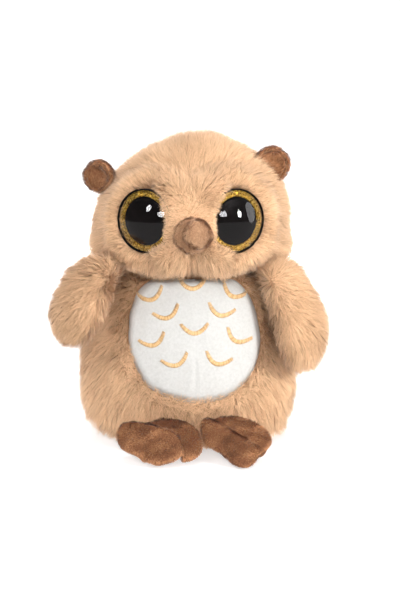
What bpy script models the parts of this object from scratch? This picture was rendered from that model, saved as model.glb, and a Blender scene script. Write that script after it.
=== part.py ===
"""Plush owl with a squeeze-to-hoot sound module, as an assembly of separate pieces.

Units are metres, +Z is up and the face looks along -Y. Sizes below are in millimetres and MM turns them
into metres. "left" and "right" are the owl's own sides, so its left is at +X. The origin is on the ground,
under the neck's axis.
"""

import math

import bmesh
import bpy
from mathutils import Matrix, Vector

MM = 0.001
GAP = 0.3  # between pieces that touch

# Body and head are turned forms, a little flatter from front to back.
FLATNESS = 0.86
COVER = 3.0  # fur fabric, its backing and its pressed pile
NECK_Z, NECK_R = 84.0, 31.0
BODY_OUTLINE = [
    (0.0, 0.0), (30.0, 0.0), (40.0, 2.5), (46.0, 7.5), (49.2, 14.5), (50.4, 24.0), (50.4, 35.0), (
        49.4, 46.0,
    ),
    (47.4, 56.0), (44.6, 66.0), (41.4, 74.0), (37.0, 80.5), (NECK_R, NECK_Z - GAP / 2),
]
HEAD_R, HEAD_Z, HEAD_UP, HEAD_DOWN = 46.8, 103.0, 43.5, 19.6
HEAD_DOWN_POWER = 4.0  # below its widest level the head is fuller than an ellipse
HEAD_UP_POWERS = (2.2, 0.59)  # and above it, squarer at the sides and narrower at the crown
HEAD_LEAN = 0.1  # the crown leans to the owl's left, in mm across for each mm above the cheeks
SOFT_SIDES = 28

# Eyes: a black cup with a stem, a glitter ring, a pupil and a clear dome, held by a washer.
# By side: place across, and how far the eye looks outwards.
EYE_Z, EYES = 109.4, {"left": (20.8, 31.0), "right": (-20.8, 32.0)}
EYE_R, EYE_STEM_R, EYE_STEM = 15.0, 2.4, 12.5
EYE_SINK = 2.0
EYE_SIDES = 28

BEAK_X, BEAK_Z, BEAK_R, BEAK_LONG = 0.9, 106.8, 9.0, 15.0
BEAK_DROP = 8.0

# Ears, by side: place across and up, and how far the cup is turned outwards.
EAR_R, EAR_Y, EAR_GAP = 8.3, -5.0, 0.9
EARS = {"left": (38.4, 132.6, 12.0), "right": (-43.2, 126.8, 30.0)}

# Wings are paddles that hang from the shoulders, face to the body.
WING_X, WING_Y, WING_Z, WING_R = 38.0, -17.0, 84.0, 16.5
WING_THINNESS, WING_BOW = 0.6, 6.0
WING_COVER = 2.4
# By side: the way the paddle hangs, the way its outer face looks, and its length.
WINGS = {
    "left": ((0.31, -0.21, -0.93), (0.77, -0.52, 0.0), 52.0),
    "right": ((-0.38, -0.58, -0.72), (-0.72, -0.69, 0.0), 44.5),
}

# Feet are three-toed velour pads that slope down from the belly to the ground.
# By side: place across, and how far the toes point outwards.
FOOT_Y, FOOT_Z, FOOT_SLOPE, FEET = -43.4, 12.4, 15.0, {"left": (20.6, 22.0), "right": (-15.6, 8.0)}
FOOT_SOLE, FOOT_UPPER, FOOT_WALL = 1.4, 5.6, 1.4
FOOT_OUTLINE = [
    (0.0, 0.0), (9.5, 1.0), (13.5, 8.0), (18.0, 15.5), (17.5, 24.0), (10.0, 26.0),
    (0.0, 32.0), (-10.0, 26.0), (-17.5, 24.0), (-18.0, 15.5), (-13.5, 8.0), (-9.5, 1.0),
]

# Tummy panel: a shield let into the front of the cover, and the squeeze switch behind it.
PANEL_X, PANEL_HALF_TOP, PANEL_HALF_WIDE, PANEL_HALF_LOW = 1.4, 28.0, 34.0, 26.0
PANEL_TOP, PANEL_SHOULDER, PANEL_MIDDLE, PANEL_CORNER, PANEL_BOTTOM = 88.0, 78.0, 53.5, 30.0, 22.0
SWITCH_Z, SWITCH_Y, SWITCH_TILT, SWITCH_R = 52.0, -34.6, -10.0, 9.5
SWITCH_BASE_DEEP, SWITCH_CAP_DEEP, SWITCH_TRAVEL = 5.0, 3.6, 1.6

# Sound module, in its own frame: +Y out of the owl's back, +Z up, y = 0 on its rear face.
MODULE_Y, MODULE_Z, MODULE_TILT = 35.0, 43.0, 9.0
MODULE_W, MODULE_H, REAR_DEEP, FRONT_DEEP, WALL = 38.0, 54.0, 16.0, 14.0, 1.5
CELL_R, CELL_LONG, CELL_STEP, CELL_X = 5.25, 43.3, 11.2, -11.6
BAY_LEFT, BAY_RIGHT, BAY_H, BAY_DEEP = -17.6, 5.4, 50.4, 13.2
DOOR_THICK, DOOR_TAB, DOOR_TAB_Z = 1.6, 10.0, 14.0
SCREW_X, SCREW_R, SCREW_HEAD_R, SCREW_LONG = 11.0, 1.3, 2.4, 7.0
CASE_SCREWS = [(15.8, 23.8), (15.8, -23.8)]
POWER_Z, POWER_TRAVEL = -14.0, 4.0
SPEAKER_Z, SPEAKER_R, SPEAKER_DEEP = -10.0, 14.0, 3.2
BOARD_Y, BOARD_THICK, BOARD_W, BOARD_H = -18.2, 1.2, 32.0, 45.0
WIRE_R = 0.6
PELLET_TOP = 16.0

COLOURS = {  # name: (linear colour, roughness, metallic)
    "fur_tan": ((0.66, 0.38, 0.21), 0.95, 0.0),
    "velour_brown": ((0.24, 0.09, 0.038), 0.9, 0.0),
    "beak_velour": ((0.42, 0.22, 0.115), 0.9, 0.0),
    "minky_white": ((0.84, 0.83, 0.8), 0.9, 0.0),
    "stuffing": ((0.86, 0.86, 0.84), 1.0, 0.0),
    "pellet_cloth": ((0.7, 0.68, 0.62), 0.95, 0.0),
    "black_plastic": ((0.008, 0.008, 0.009), 0.3, 0.0),
    "grey_plastic": ((0.055, 0.055, 0.06), 0.5, 0.0),
    "clear_plastic": ((0.9, 0.9, 0.9), 0.05, 0.0),
    "white_plastic": ((0.75, 0.75, 0.73), 0.45, 0.0),
    "gold_glitter": ((0.65, 0.37, 0.045), 0.35, 0.8),
    "circuit_green": ((0.02, 0.16, 0.06), 0.5, 0.0),
    "steel": ((0.55, 0.55, 0.56), 0.3, 1.0),
    "cell_jacket": ((0.03, 0.1, 0.3), 0.4, 0.2),
    "speaker_paper": ((0.03, 0.03, 0.03), 0.85, 0.0),
    "wire_red": ((0.5, 0.02, 0.015), 0.5, 0.0),
    "wire_black": ((0.01, 0.01, 0.01), 0.5, 0.0),
}


def clear_scene():
    for old in list(bpy.data.objects):
        bpy.data.objects.remove(old)


def collection(name):
    made = bpy.data.collections.new(name)
    bpy.context.scene.collection.children.link(made)
    return made


def material(name):
    found = bpy.data.materials.get(name)
    if found:
        return found
    colour, roughness, metallic = COLOURS[name]
    made = bpy.data.materials.new(name)
    made.use_nodes = True
    shader = made.node_tree.nodes["Principled BSDF"]
    shader.inputs["Base Color"].default_value = (*colour, 1.0)
    shader.inputs["Roughness"].default_value = roughness
    shader.inputs["Metallic"].default_value = metallic
    made.diffuse_color = (*colour, 1.0)
    return made


clear_scene()
OWL, CUTTERS = collection("plush_owl"), collection("cutters")


def place(data, name, look, root=None, at=(0, 0, 0), cutter=False):
    """A new object for a mesh or curve, in the owl or, for a cutter, hidden among the cutters."""
    made = bpy.data.objects.new(name, data)
    (CUTTERS if cutter else OWL).objects.link(made)
    made.parent = root
    made.location = Vector(at) * MM
    if cutter:
        made.hide_render = True
        made.display_type = "WIRE"
    else:
        data.materials.append(material(look))
    return made


def empty(name, at, turn, root=None):
    """A frame for the pieces that share it: a place in millimetres and a 3x3 rotation."""
    made = bpy.data.objects.new(name, None)
    OWL.objects.link(made)
    made.parent = root
    made.matrix_local = Matrix.Translation(Vector(at) * MM) @ turn.to_4x4()
    return made


def facing(direction, up="Y"):
    """The rotation that turns local +Z to a direction."""
    return Vector(direction).normalized().to_track_quat("Z", up).to_matrix()


def finish(bm, name):
    bmesh.ops.recalc_face_normals(bm, faces=bm.faces)
    mesh = bpy.data.meshes.new(name)
    bm.to_mesh(mesh)
    bm.free()
    mesh.shade_smooth()
    mesh.set_sharp_from_angle(angle=math.radians(40))
    return mesh


def evaluated_mesh(guide):
    """The mesh that an object's modifiers or curve settings make, after which the object is removed."""
    CUTTERS.objects.link(guide)
    bpy.context.view_layer.update()
    graph = bpy.context.evaluated_depsgraph_get()
    mesh = bpy.data.meshes.new_from_object(guide.evaluated_get(graph))
    bpy.data.objects.remove(guide)
    mesh.materials.clear()
    return mesh


def turned(name, profile, look, sides=20, ring=False, flat=(1, 1), shift=None, wall=0.0, **where):
    """A profile of (radius, height), run up its outer side, turned about Z. ring closes a profile off the
    axis, flat scales X and Y, shift moves each level across, and wall makes a profile a shell."""
    outline = bpy.data.meshes.new(name)
    count = len(profile)
    edges = [(i, i + 1) for i in range(count - 1)] + ([(count - 1, 0)] if ring else [])
    outline.from_pydata([(r * MM, 0, z * MM) for r, z in reversed(profile)], edges, [])
    guide = bpy.data.objects.new(name + "_guide", outline)
    screw = guide.modifiers.new("turn", "SCREW")
    screw.steps = screw.render_steps = sides
    screw.use_merge_vertices = True
    screw.merge_threshold = 1e-5
    mesh = evaluated_mesh(guide)
    for v in mesh.vertices:
        v.co.x = v.co.x * flat[0] + (shift(v.co.z / MM) * MM if shift else 0.0)
        v.co.y *= flat[1]
    mesh.shade_smooth()
    mesh.set_sharp_from_angle(angle=math.radians(40))
    made = place(mesh, name, look, **where)
    if wall:
        cloth = made.modifiers.new("wall", "SOLIDIFY")
        cloth.thickness = wall * MM
    return made


def box(name, low, high, look, soften=0.0, **where):
    """A box between two corners, with its edges rounded by soften."""
    low, high = Vector(low) * MM, Vector(high) * MM
    bm = bmesh.new()
    size = Matrix.Diagonal((*(high - low), 1))
    bmesh.ops.create_cube(bm, size=1, matrix=Matrix.Translation((low + high) / 2) @ size)
    made = place(finish(bm, name), name, look, **where)
    if soften:
        bevel = made.modifiers.new("soften", "BEVEL")
        bevel.width = soften * MM
        bevel.segments = 2
    return made


def rod(name, r, start, end, look="steel", sides=16, **where):
    """A cylinder between two points."""
    a, b = Vector(start) * MM, Vector(end) * MM
    bm = bmesh.new()
    turn = (b - a).to_track_quat("Z", "Y").to_matrix().to_4x4()
    bmesh.ops.create_cone(
        bm, cap_ends=True, segments=sides, radius1=r * MM, radius2=r * MM, depth=(b - a).length,
        matrix=Matrix.Translation((a + b) / 2) @ turn,
    )
    return place(finish(bm, name), name, look, **where)


def slab(name, outline, thick, look, grow=1.0, **where):
    """A flat outline with rounded corners, thick in Z and centred there, as a mesh."""
    curve = bpy.data.curves.new(name, "CURVE")
    curve.dimensions = "2D"
    curve.fill_mode = "BOTH"
    curve.extrude = thick * MM / 2
    curve.resolution_u = 3
    spline = curve.splines.new("BEZIER")
    spline.bezier_points.add(len(outline) - 1)
    spline.use_cyclic_u = True
    middle = Vector((sum(x for x, _ in outline), sum(y for _, y in outline))) / len(outline)
    for point, corner in zip(spline.bezier_points, outline, strict=True):
        spot = (Vector(corner) - middle) * grow + middle
        point.co = (*(spot * MM), 0)
        point.handle_left_type = point.handle_right_type = "AUTO"
    bm = bmesh.new()
    bm.from_mesh(evaluated_mesh(bpy.data.objects.new(name + "_guide", curve)))
    bmesh.ops.remove_doubles(bm, verts=bm.verts, dist=1e-6)
    return place(finish(bm, name), name, look, **where)


def wire(name, points, look, r=WIRE_R, resolution=1, **where):
    """A tube along points."""
    curve = bpy.data.curves.new(name, "CURVE")
    curve.dimensions = "3D"
    curve.bevel_depth = r * MM
    curve.bevel_resolution = resolution
    curve.use_fill_caps = True
    spline = curve.splines.new("POLY")
    spline.points.add(len(points) - 1)
    for spot, point in zip(spline.points, points, strict=True):
        spot.co = (*(Vector(point) * MM), 1)
    return place(curve, name, look, **where)


def boolean(target, cutter, operation="DIFFERENCE"):
    step = target.modifiers.new(cutter.name, "BOOLEAN")
    step.operation = operation
    step.object = cutter


def grown(profile, by):
    """A profile moved out by a distance along its own normal, kept off the far side of the axis."""
    moved = []
    for i, (r, z) in enumerate(profile):
        before, after = profile[max(i - 1, 0)], profile[min(i + 1, len(profile) - 1)]
        along = Vector((after[0] - before[0], after[1] - before[1])).normalized()
        if r < 1e-6:
            moved.append((0.0, z - by * math.copysign(1, along.x)))
        else:
            moved.append((r + along.y * by, z - along.x * by))
    return moved


def head_radius(z):
    if z < HEAD_Z:
        return HEAD_R * (1 - ((HEAD_Z - z) / HEAD_DOWN) ** HEAD_DOWN_POWER) ** (1 / HEAD_DOWN_POWER)
    square, narrow = HEAD_UP_POWERS
    return HEAD_R * (1 - ((z - HEAD_Z) / HEAD_UP) ** square) ** narrow


def head_outline():
    """From the neck, up round the cheeks and over the crown."""
    levels = [NECK_Z + (HEAD_Z - NECK_Z) * share for share in (0, 0.1, 0.25, 0.45, 0.7)]
    levels += [HEAD_Z + HEAD_UP * math.sin(math.pi / 2 * i / 9) for i in range(9)]
    outline = [(head_radius(z), z) for z in levels]
    outline[0] = (NECK_R, NECK_Z + GAP / 2)
    return outline + [(0.0, HEAD_Z + HEAD_UP)]


def head_front(x, z):
    """The front of the head's surface, straight ahead of a point."""
    return -FLATNESS * math.sqrt(head_radius(z) ** 2 - x**2)


def flat_top(profile, z):
    """A profile cut flat at a height, and closed there."""
    kept = [p for p in profile if p[1] < z - 1.0]
    return kept + [(profile[-1][0], z), (0.0, z)]


def sides():
    return (("left", 1), ("right", -1))


def build_body():
    form = {"sides": SOFT_SIDES, "flat": (1, FLATNESS)}
    cover = turned("body_cover", BODY_OUTLINE, "fur_tan", wall=COVER, **form)
    panel = turned("tummy_panel", BODY_OUTLINE, "minky_white", wall=COVER, **form)
    window = [
        (0, PANEL_TOP), (PANEL_HALF_TOP * 0.7, PANEL_TOP), (PANEL_HALF_TOP, PANEL_SHOULDER),
        (PANEL_HALF_WIDE, PANEL_MIDDLE), (PANEL_HALF_LOW, PANEL_CORNER), (0, PANEL_BOTTOM),
    ]
    window += [(-x, z) for x, z in reversed(window[1:-1])]
    window = [(x + PANEL_X, z) for x, z in window]
    for target, grow, operation in ((panel, 1.0, "INTERSECT"), (cover, 1.012, "DIFFERENCE")):
        name = "window_" + operation.lower()
        cutter = slab(name, window, 60, None, grow, at=(0, -35, 0), cutter=True)
        cutter.rotation_euler.x = math.pi / 2
        boolean(target, cutter, operation)

    lining = grown(BODY_OUTLINE, -(COVER + GAP) / FLATNESS)
    inner_r = [p for p in lining if p[1] > PELLET_TOP]
    at_top = (inner_r[0][0] - 1.2, PELLET_TOP)
    pellets = flat_top([p for p in lining if p[1] <= PELLET_TOP] + [at_top], PELLET_TOP)
    bag = turned("pellet_bag", pellets, "pellet_cloth", **form)
    filling = [(0.0, PELLET_TOP + GAP), (inner_r[0][0] - 1.0, PELLET_TOP + GAP)]
    filling += flat_top(inner_r, NECK_Z - 1.0)
    stuffing = turned("body_stuffing", filling, "stuffing", **form)
    room = turned("room_for_body", flat_top(grown(BODY_OUTLINE, GAP), NECK_Z), None, cutter=True, **form)
    return cover, stuffing, bag, room


def head_lean(z):
    return HEAD_LEAN * max(0.0, z - HEAD_Z)


def build_head():
    head = {"sides": SOFT_SIDES, "flat": (1, FLATNESS), "shift": head_lean}
    outline = head_outline()
    cover = turned("head_cover", outline, "fur_tan", wall=COVER, **head)
    lining = grown(outline, -(COVER + GAP) / FLATNESS)
    stuffing = turned("head_stuffing", [(0.0, lining[0][1])] + lining, "stuffing", **head)
    around = grown(outline, EAR_GAP)
    around = [(0.0, around[0][1])] + around
    clearance = turned("head_clearance", around, None, cutter=True, **head)
    return cover, stuffing, clearance


def build_eye(side, cover, stuffing):
    x, yaw = EYES[side]
    turn = math.copysign(math.radians(yaw), x)
    axis = Vector((math.sin(turn), -math.cos(turn), 0))
    spot = Vector((x, head_front(x, EYE_Z), EYE_Z)) - axis * EYE_SINK
    root = empty(f"eye_{side}", spot, facing(axis))
    eye = {"sides": EYE_SIDES, "root": root}
    stem = [(0, -EYE_STEM), (EYE_STEM_R, -EYE_STEM), (EYE_STEM_R, 0)]
    rim = [(EYE_R, 0), (EYE_R, 3.2), (EYE_R - 0.5, 3.2), (EYE_R - 0.5, 1.2), (0, 1.2)]
    turned(f"eye_{side}_cup", stem + rim, "black_plastic", **eye)
    ring_in, ring_out = EYE_R - 3.3, EYE_R - 0.8
    ring = [(ring_in, 1.5), (ring_out, 1.5), (ring_out, 2.2), (ring_in, 2.2)]
    turned(f"eye_{side}_glitter_ring", ring, "gold_glitter", ring=True, **eye)
    pupil_r = ring_in - 0.3
    pupil = [(0, 1.5), (pupil_r, 1.5), (pupil_r, 2.2), (7.0, 2.9), (0, 3.2)]
    turned(f"eye_{side}_pupil", pupil, "black_plastic", **eye)
    under = [(0, 3.5), (7.0, 3.2), (pupil_r, 2.5), (ring_out, 2.5)]
    turns = [math.pi / 2 * i / 5 for i in range(6)]
    over = [(ring_out * math.cos(t), 3.0 + 6.2 * math.sin(t)) for t in turns[:-1]] + [(0, 9.2)]
    turned(f"eye_{side}_dome", under + over, "clear_plastic", **eye)
    washer = [(EYE_STEM_R + 0.1, -8.8), (7.2, -8.8), (7.2, -7.4), (EYE_STEM_R + 0.1, -7.4)]
    turned(f"eye_{side}_washer", washer, "white_plastic", ring=True, sides=20, root=root)
    cut = {"look": None, "sides": 20, "root": root, "cutter": True}
    boolean(cover, rod(f"eye_{side}_seat", EYE_R + 0.4, (0, 0, -GAP), (0, 0, 9), **cut))
    boolean(cover, rod(f"eye_{side}_hole", EYE_STEM_R + 0.5, (0, 0, -10), (0, 0, 2), **cut))
    boolean(stuffing, rod(f"eye_{side}_pocket", 9.0, (0, 0, -14.5), (0, 0, 3), **cut))


def build_beak(clearance):
    drop = math.radians(BEAK_DROP)
    axis = Vector((0, -math.cos(drop), -math.sin(drop)))
    root = empty("beak_root", (BEAK_X, head_front(BEAK_X, BEAK_Z), BEAK_Z), facing(axis))
    share = [
        (0.0, -0.3), (0.54, -0.3), (0.58, 0.05), (0.74, 0.17), (0.93, 0.32), (1.0, 0.5), (0.94, 0.7), (
            0.76, 0.86,
        ),
        (0.42, 0.97), (0.0, 1.0),
    ]
    profile = [(r * BEAK_R, z * BEAK_LONG) for r, z in share]
    boolean(turned("beak", profile, "beak_velour", root=root), clearance)


def build_ear(side, clearance):
    x, z, out = EARS[side]
    sign = math.copysign(1, x)
    turn = math.radians(out)
    axis = facing((sign * math.sin(turn), -math.cos(turn), 0))
    root = empty(f"ear_{side}_root", (x, EAR_Y, z), axis)
    cup = [
        (0.0, -0.62), (0.45, -0.56), (0.82, -0.3), (1.0, 0.12), (0.93, 0.3), (0.78, 0.16), (0.6, -0.1),
        (0.35, -0.26), (0.0, -0.3),
    ]
    lining = [
        (0.0, -0.25), (0.34, -0.21), (0.56, -0.06), (0.73, 0.2), (0.6, 0.22), (0.3, -0.02), (0.0, -0.08),
    ]
    for name, profile, look in (("cup", cup, "velour_brown"), ("lining", lining, "velour_brown")):
        form = turned(
            f"ear_{side}_{name}", [(r * EAR_R, h * EAR_R) for r, h in profile], look, 16, root=root,
        )
        boolean(form, clearance)


def build_wing(side, sign, body, head):
    """Local X goes through the paddle, away from the body, and local Y across it, to the back."""
    down, face, long = WINGS[side]
    up, face = -Vector(down).normalized(), Vector(face)
    away = (face - up * face.dot(up)).normalized()
    turn = Matrix((away, up.cross(away), up)).transposed()
    root = empty(f"wing_{side}_root", (sign * WING_X, WING_Y, WING_Z), turn)
    share = [
        (0.0, 1.0), (0.42, 0.98), (0.78, 0.88), (0.97, 0.72), (1.0, 0.55), (0.92, 0.34), (0.74, 0.13), (
            0.46, 0.0,
        ),
    ]
    outline = [(r * WING_R, -z * long) for r, z in share]
    bow = WING_BOW * 4 / long**2
    form = {"sides": 20, "flat": (WING_THINNESS, 1), "root": root}
    form["shift"] = lambda z: bow * -z * (long + z)
    cover = turned(f"wing_{side}_cover", outline, "fur_tan", wall=WING_COVER, **form)
    inside = grown(outline, -(WING_COVER + 2 * GAP) / WING_THINNESS)
    stuffing = turned(f"wing_{side}_stuffing", inside + [(0.0, inside[-1][1])], "stuffing", **form)
    for form in (cover, stuffing):
        boolean(form, body)
        boolean(form, head)


def build_foot(side):
    x, out = FEET[side]
    turn = Matrix.Rotation(math.pi + math.copysign(math.radians(out), x), 3, "Z")
    turn = turn @ Matrix.Rotation(math.radians(-FOOT_SLOPE), 3, "X")
    root = empty(f"foot_{side}_root", (x, FOOT_Y, FOOT_Z), turn)
    low = -(FOOT_SOLE + GAP + FOOT_UPPER) / 2
    sole_at = (0, 0, low + FOOT_SOLE / 2)
    slab(f"foot_{side}_sole", FOOT_OUTLINE, FOOT_SOLE, "velour_brown", root=root, at=sole_at)
    floor = low + FOOT_SOLE + GAP
    middle = floor + FOOT_UPPER / 2
    upper = slab(
        f"foot_{side}_upper", FOOT_OUTLINE, FOOT_UPPER, "velour_brown", root=root, at=(0, 0, middle),
    )
    inside = {"root": root, "at": (0, 0, middle - FOOT_WALL), "cutter": True}
    boolean(upper, slab(f"foot_{side}_hollow", FOOT_OUTLINE, FOOT_UPPER, None, 0.84, **inside))
    deep = FOOT_UPPER - FOOT_WALL - 2 * GAP
    padding_at = (0, 0, floor + deep / 2)
    slab(f"foot_{side}_padding", FOOT_OUTLINE, deep, "stuffing", 0.8, root=root, at=padding_at)


def build_squeeze_switch(stuffing):
    axis = Vector((0, -math.cos(math.radians(SWITCH_TILT)), -math.sin(math.radians(SWITCH_TILT))))
    root = empty("squeeze_switch", (0, SWITCH_Y, SWITCH_Z), facing(axis))
    r, deep, cap = SWITCH_R, SWITCH_BASE_DEEP, SWITCH_CAP_DEEP
    back = -deep - cap
    base = [(0, back), (r, back), (r, -1.7), (r - 1.4, -1.7), (r - 1.4, back + 1.4), (0, back + 1.4)]
    turned("squeeze_switch_base", base, "white_plastic", root=root)
    contact = back + 3.6
    low = contact + SWITCH_TRAVEL + 0.2
    button = [(0, low), (r - 1.9, low), (r - 1.9, -0.9), (r - 2.8, -0.2), (0, 0)]
    turned("squeeze_switch_cap", button, "white_plastic", root=root)
    button_switch = [(0, back + 1.7), (3.0, back + 1.7), (3.0, contact - 0.5), (1.6, contact), (0, contact)]
    turned("squeeze_switch_contact", button_switch, "grey_plastic", sides=12, root=root)
    pocket = {"look": None, "root": root, "cutter": True}
    boolean(stuffing, rod("squeeze_switch_pocket", r + 0.8, (0, 0, back - 0.6), (0, 0, 9), **pocket))
    return root, back


def build_module(soft):
    root = empty("sound_module", (0, MODULE_Y, MODULE_Z), Matrix.Rotation(math.radians(MODULE_TILT), 3, "X"))
    half_w, half_h = MODULE_W / 2, MODULE_H / 2
    inside = {"look": None, "root": root, "cutter": True}
    room_low = (-half_w - 0.5, -REAR_DEEP - FRONT_DEEP - 2, -half_h - 0.5)
    room_high = (half_w + 0.5, 20, half_h + 0.5)
    room = box("module_room", room_low, room_high, **inside)
    for around in soft:
        boolean(around, room)

    rear_low, rear_high = (-half_w, -REAR_DEEP, -half_h), (half_w, 0, half_h)
    rear = box("module_rear_shell", rear_low, rear_high, "grey_plastic", 0.8, root=root)
    bay_low, bay_high = (BAY_LEFT, -BAY_DEEP, -BAY_H / 2), (BAY_RIGHT, 5, BAY_H / 2)
    boolean(rear, box("battery_bay", bay_low, bay_high, **inside))
    seat = DOOR_THICK + GAP
    seat_low, seat_high = (BAY_LEFT - 0.9, -seat, -BAY_H / 2 - 0.9), (BAY_RIGHT + 1, 5, BAY_H / 2 + 0.9)
    boolean(rear, box("door_seat", seat_low, seat_high, **inside))
    tab_low, tab_high = DOOR_TAB_Z - DOOR_TAB / 2, DOOR_TAB_Z + DOOR_TAB / 2
    tab_end = SCREW_X + DOOR_TAB / 2
    tab_seat = (BAY_RIGHT, -seat, tab_low - 0.5), (tab_end + 0.5, 5, tab_high + 0.5)
    boolean(rear, box("tab_seat", *tab_seat, **inside))
    outside = (SCREW_X, 5, DOOR_TAB_Z)
    boolean(
        rear,
        rod("screw_well", SCREW_HEAD_R + 0.4, (SCREW_X, -SCREW_LONG - 2, DOOR_TAB_Z), outside, **inside),
    )
    boolean(
        rear,
        box("power_slot", (SCREW_X - 2.2, -30, POWER_Z - 5.2), (SCREW_X + 2.2, 5, POWER_Z + 5.2), **inside),
    )
    boolean(
        rear,
        box("rear_back_room", (BAY_RIGHT + WALL, -30, -20), (half_w - 2 * WALL - 1, -10.4, 8), **inside),
    )

    door_low = (BAY_LEFT - 0.5, -DOOR_THICK, -BAY_H / 2 - 0.5)
    door_high = (BAY_RIGHT + 0.6, 0, BAY_H / 2 + 0.5)
    door = box("battery_door", door_low, door_high, "grey_plastic", root=root)
    boolean(door, box("door_tab", (0, -DOOR_THICK, tab_low), (tab_end, 0, tab_high), **inside), "UNION")
    boolean(door, rod("door_hole", SCREW_R + 0.3, (SCREW_X, -9, DOOR_TAB_Z), outside, **inside))
    boolean(
        door, rod("door_countersink", SCREW_HEAD_R + 0.3, (SCREW_X, -0.8, DOOR_TAB_Z), outside, **inside),
    )
    screw_root = empty("door_screw_root", (SCREW_X, 0, DOOR_TAB_Z), facing((0, 1, 0), "X"), root)
    form = [
        (0, -SCREW_LONG), (SCREW_R, -SCREW_LONG), (SCREW_R, -0.5), (SCREW_HEAD_R, -0.5),
        (SCREW_HEAD_R, 0.5), (0, 0.5),
    ]
    screw = turned("door_screw", form, "steel", 12, root=screw_root)
    for i, size in enumerate(((1.5, 0.25), (0.25, 1.5))):
        slot = box(
            f"screw_slot_{i}", (-size[0], -size[1], 0), (size[0], size[1], 2), None, root=screw_root,
            cutter=True,
        )
        boolean(screw, slot)

    for i in range(2):
        x = CELL_X + i * CELL_STEP
        lift = 0.6 if i == 0 else -0.6
        flip = 1 if i == 0 else -1
        build_cell(i + 1, x, lift, flip, root)

    low, high = (-half_w, -REAR_DEEP - FRONT_DEEP, -half_h), (half_w, -REAR_DEEP - GAP, half_h)
    front = box("module_front_shell", low, high, "grey_plastic", 0.8, root=root)
    hollow_low = (-half_w + WALL, -REAR_DEEP - FRONT_DEEP + WALL, -half_h + WALL)
    boolean(front, box("front_hollow", hollow_low, (half_w - WALL, 0, half_h - WALL), **inside))
    for i, z in enumerate((-18, -14, -10, -6, -2)):
        wide = math.sqrt(12**2 - (z - SPEAKER_Z) ** 2)
        boolean(front, box(f"grille_{i}", (-wide, -40, z - 0.8), (wide, -REAR_DEEP - 8, z + 0.8), **inside))
    boolean(front, rod("wire_hole", 2.2, (0, -40, 14), (0, -REAR_DEEP - 8, 14), **inside))

    for i, (x, z) in enumerate(CASE_SCREWS):
        boolean(front, rod(f"case_hole_{i}", SCREW_R + 0.3, (x, -45, z), (x, 0, z), **inside))
        boolean(rear, rod(f"case_bore_{i}", SCREW_R + 0.3, (x, -REAR_DEEP - 1, z), (x, -8.5, z), **inside))
        head = empty(
            f"case_screw_root_{i}", (x, -REAR_DEEP - FRONT_DEEP - GAP, z), facing((0, 1, 0), "X"), root,
        )
        shaft = REAR_DEEP + FRONT_DEEP - 9.5
        form = [(0, -1.0), (2.2, -1.0), (2.2, 0), (SCREW_R, 0), (SCREW_R, shaft), (0, shaft)]
        turned(f"case_screw_{i + 1}", form, "steel", 8, root=head)
    build_electronics(root)
    return root


def build_cell(number, x, lift, flip, root):
    """One cell with its flat contact at the pole end and a coil spring at the other. flip turns it over."""
    frame = empty(
        f"cell_{number}_root", (x, -BAY_DEEP + 0.5 + CELL_R, lift), Matrix.Diagonal((flip, 1, flip)), root,
    )
    half = CELL_LONG / 2
    body = [
        (0, -half), (CELL_R, -half), (CELL_R, half - 0.2), (1.9, half - 0.2), (1.9, half + 0.9),
        (0, half + 0.9),
    ]
    turned(f"battery_{number}", body, "cell_jacket", 16, root=frame)
    end = BAY_H / 2 - 0.2 - flip * lift
    box(f"battery_plate_{number}", (-4, -3.6, end - 0.5), (4, 3.6, end), "steel", root=frame)
    start = -(BAY_H / 2 - 0.2) - flip * lift
    rise = -half - 0.4 - start
    turns, per_turn = 3, 8
    coil = []
    for i in range(turns * per_turn + 1):
        angle, share = math.tau * i / per_turn, i / (turns * per_turn)
        r = 3.4 - 1.2 * share
        coil.append((r * math.cos(angle), r * math.sin(angle), start + 0.4 + (rise - 0.8) * share))
    wire(f"battery_spring_{number}", coil, "steel", r=0.3, resolution=0, root=frame)


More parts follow.
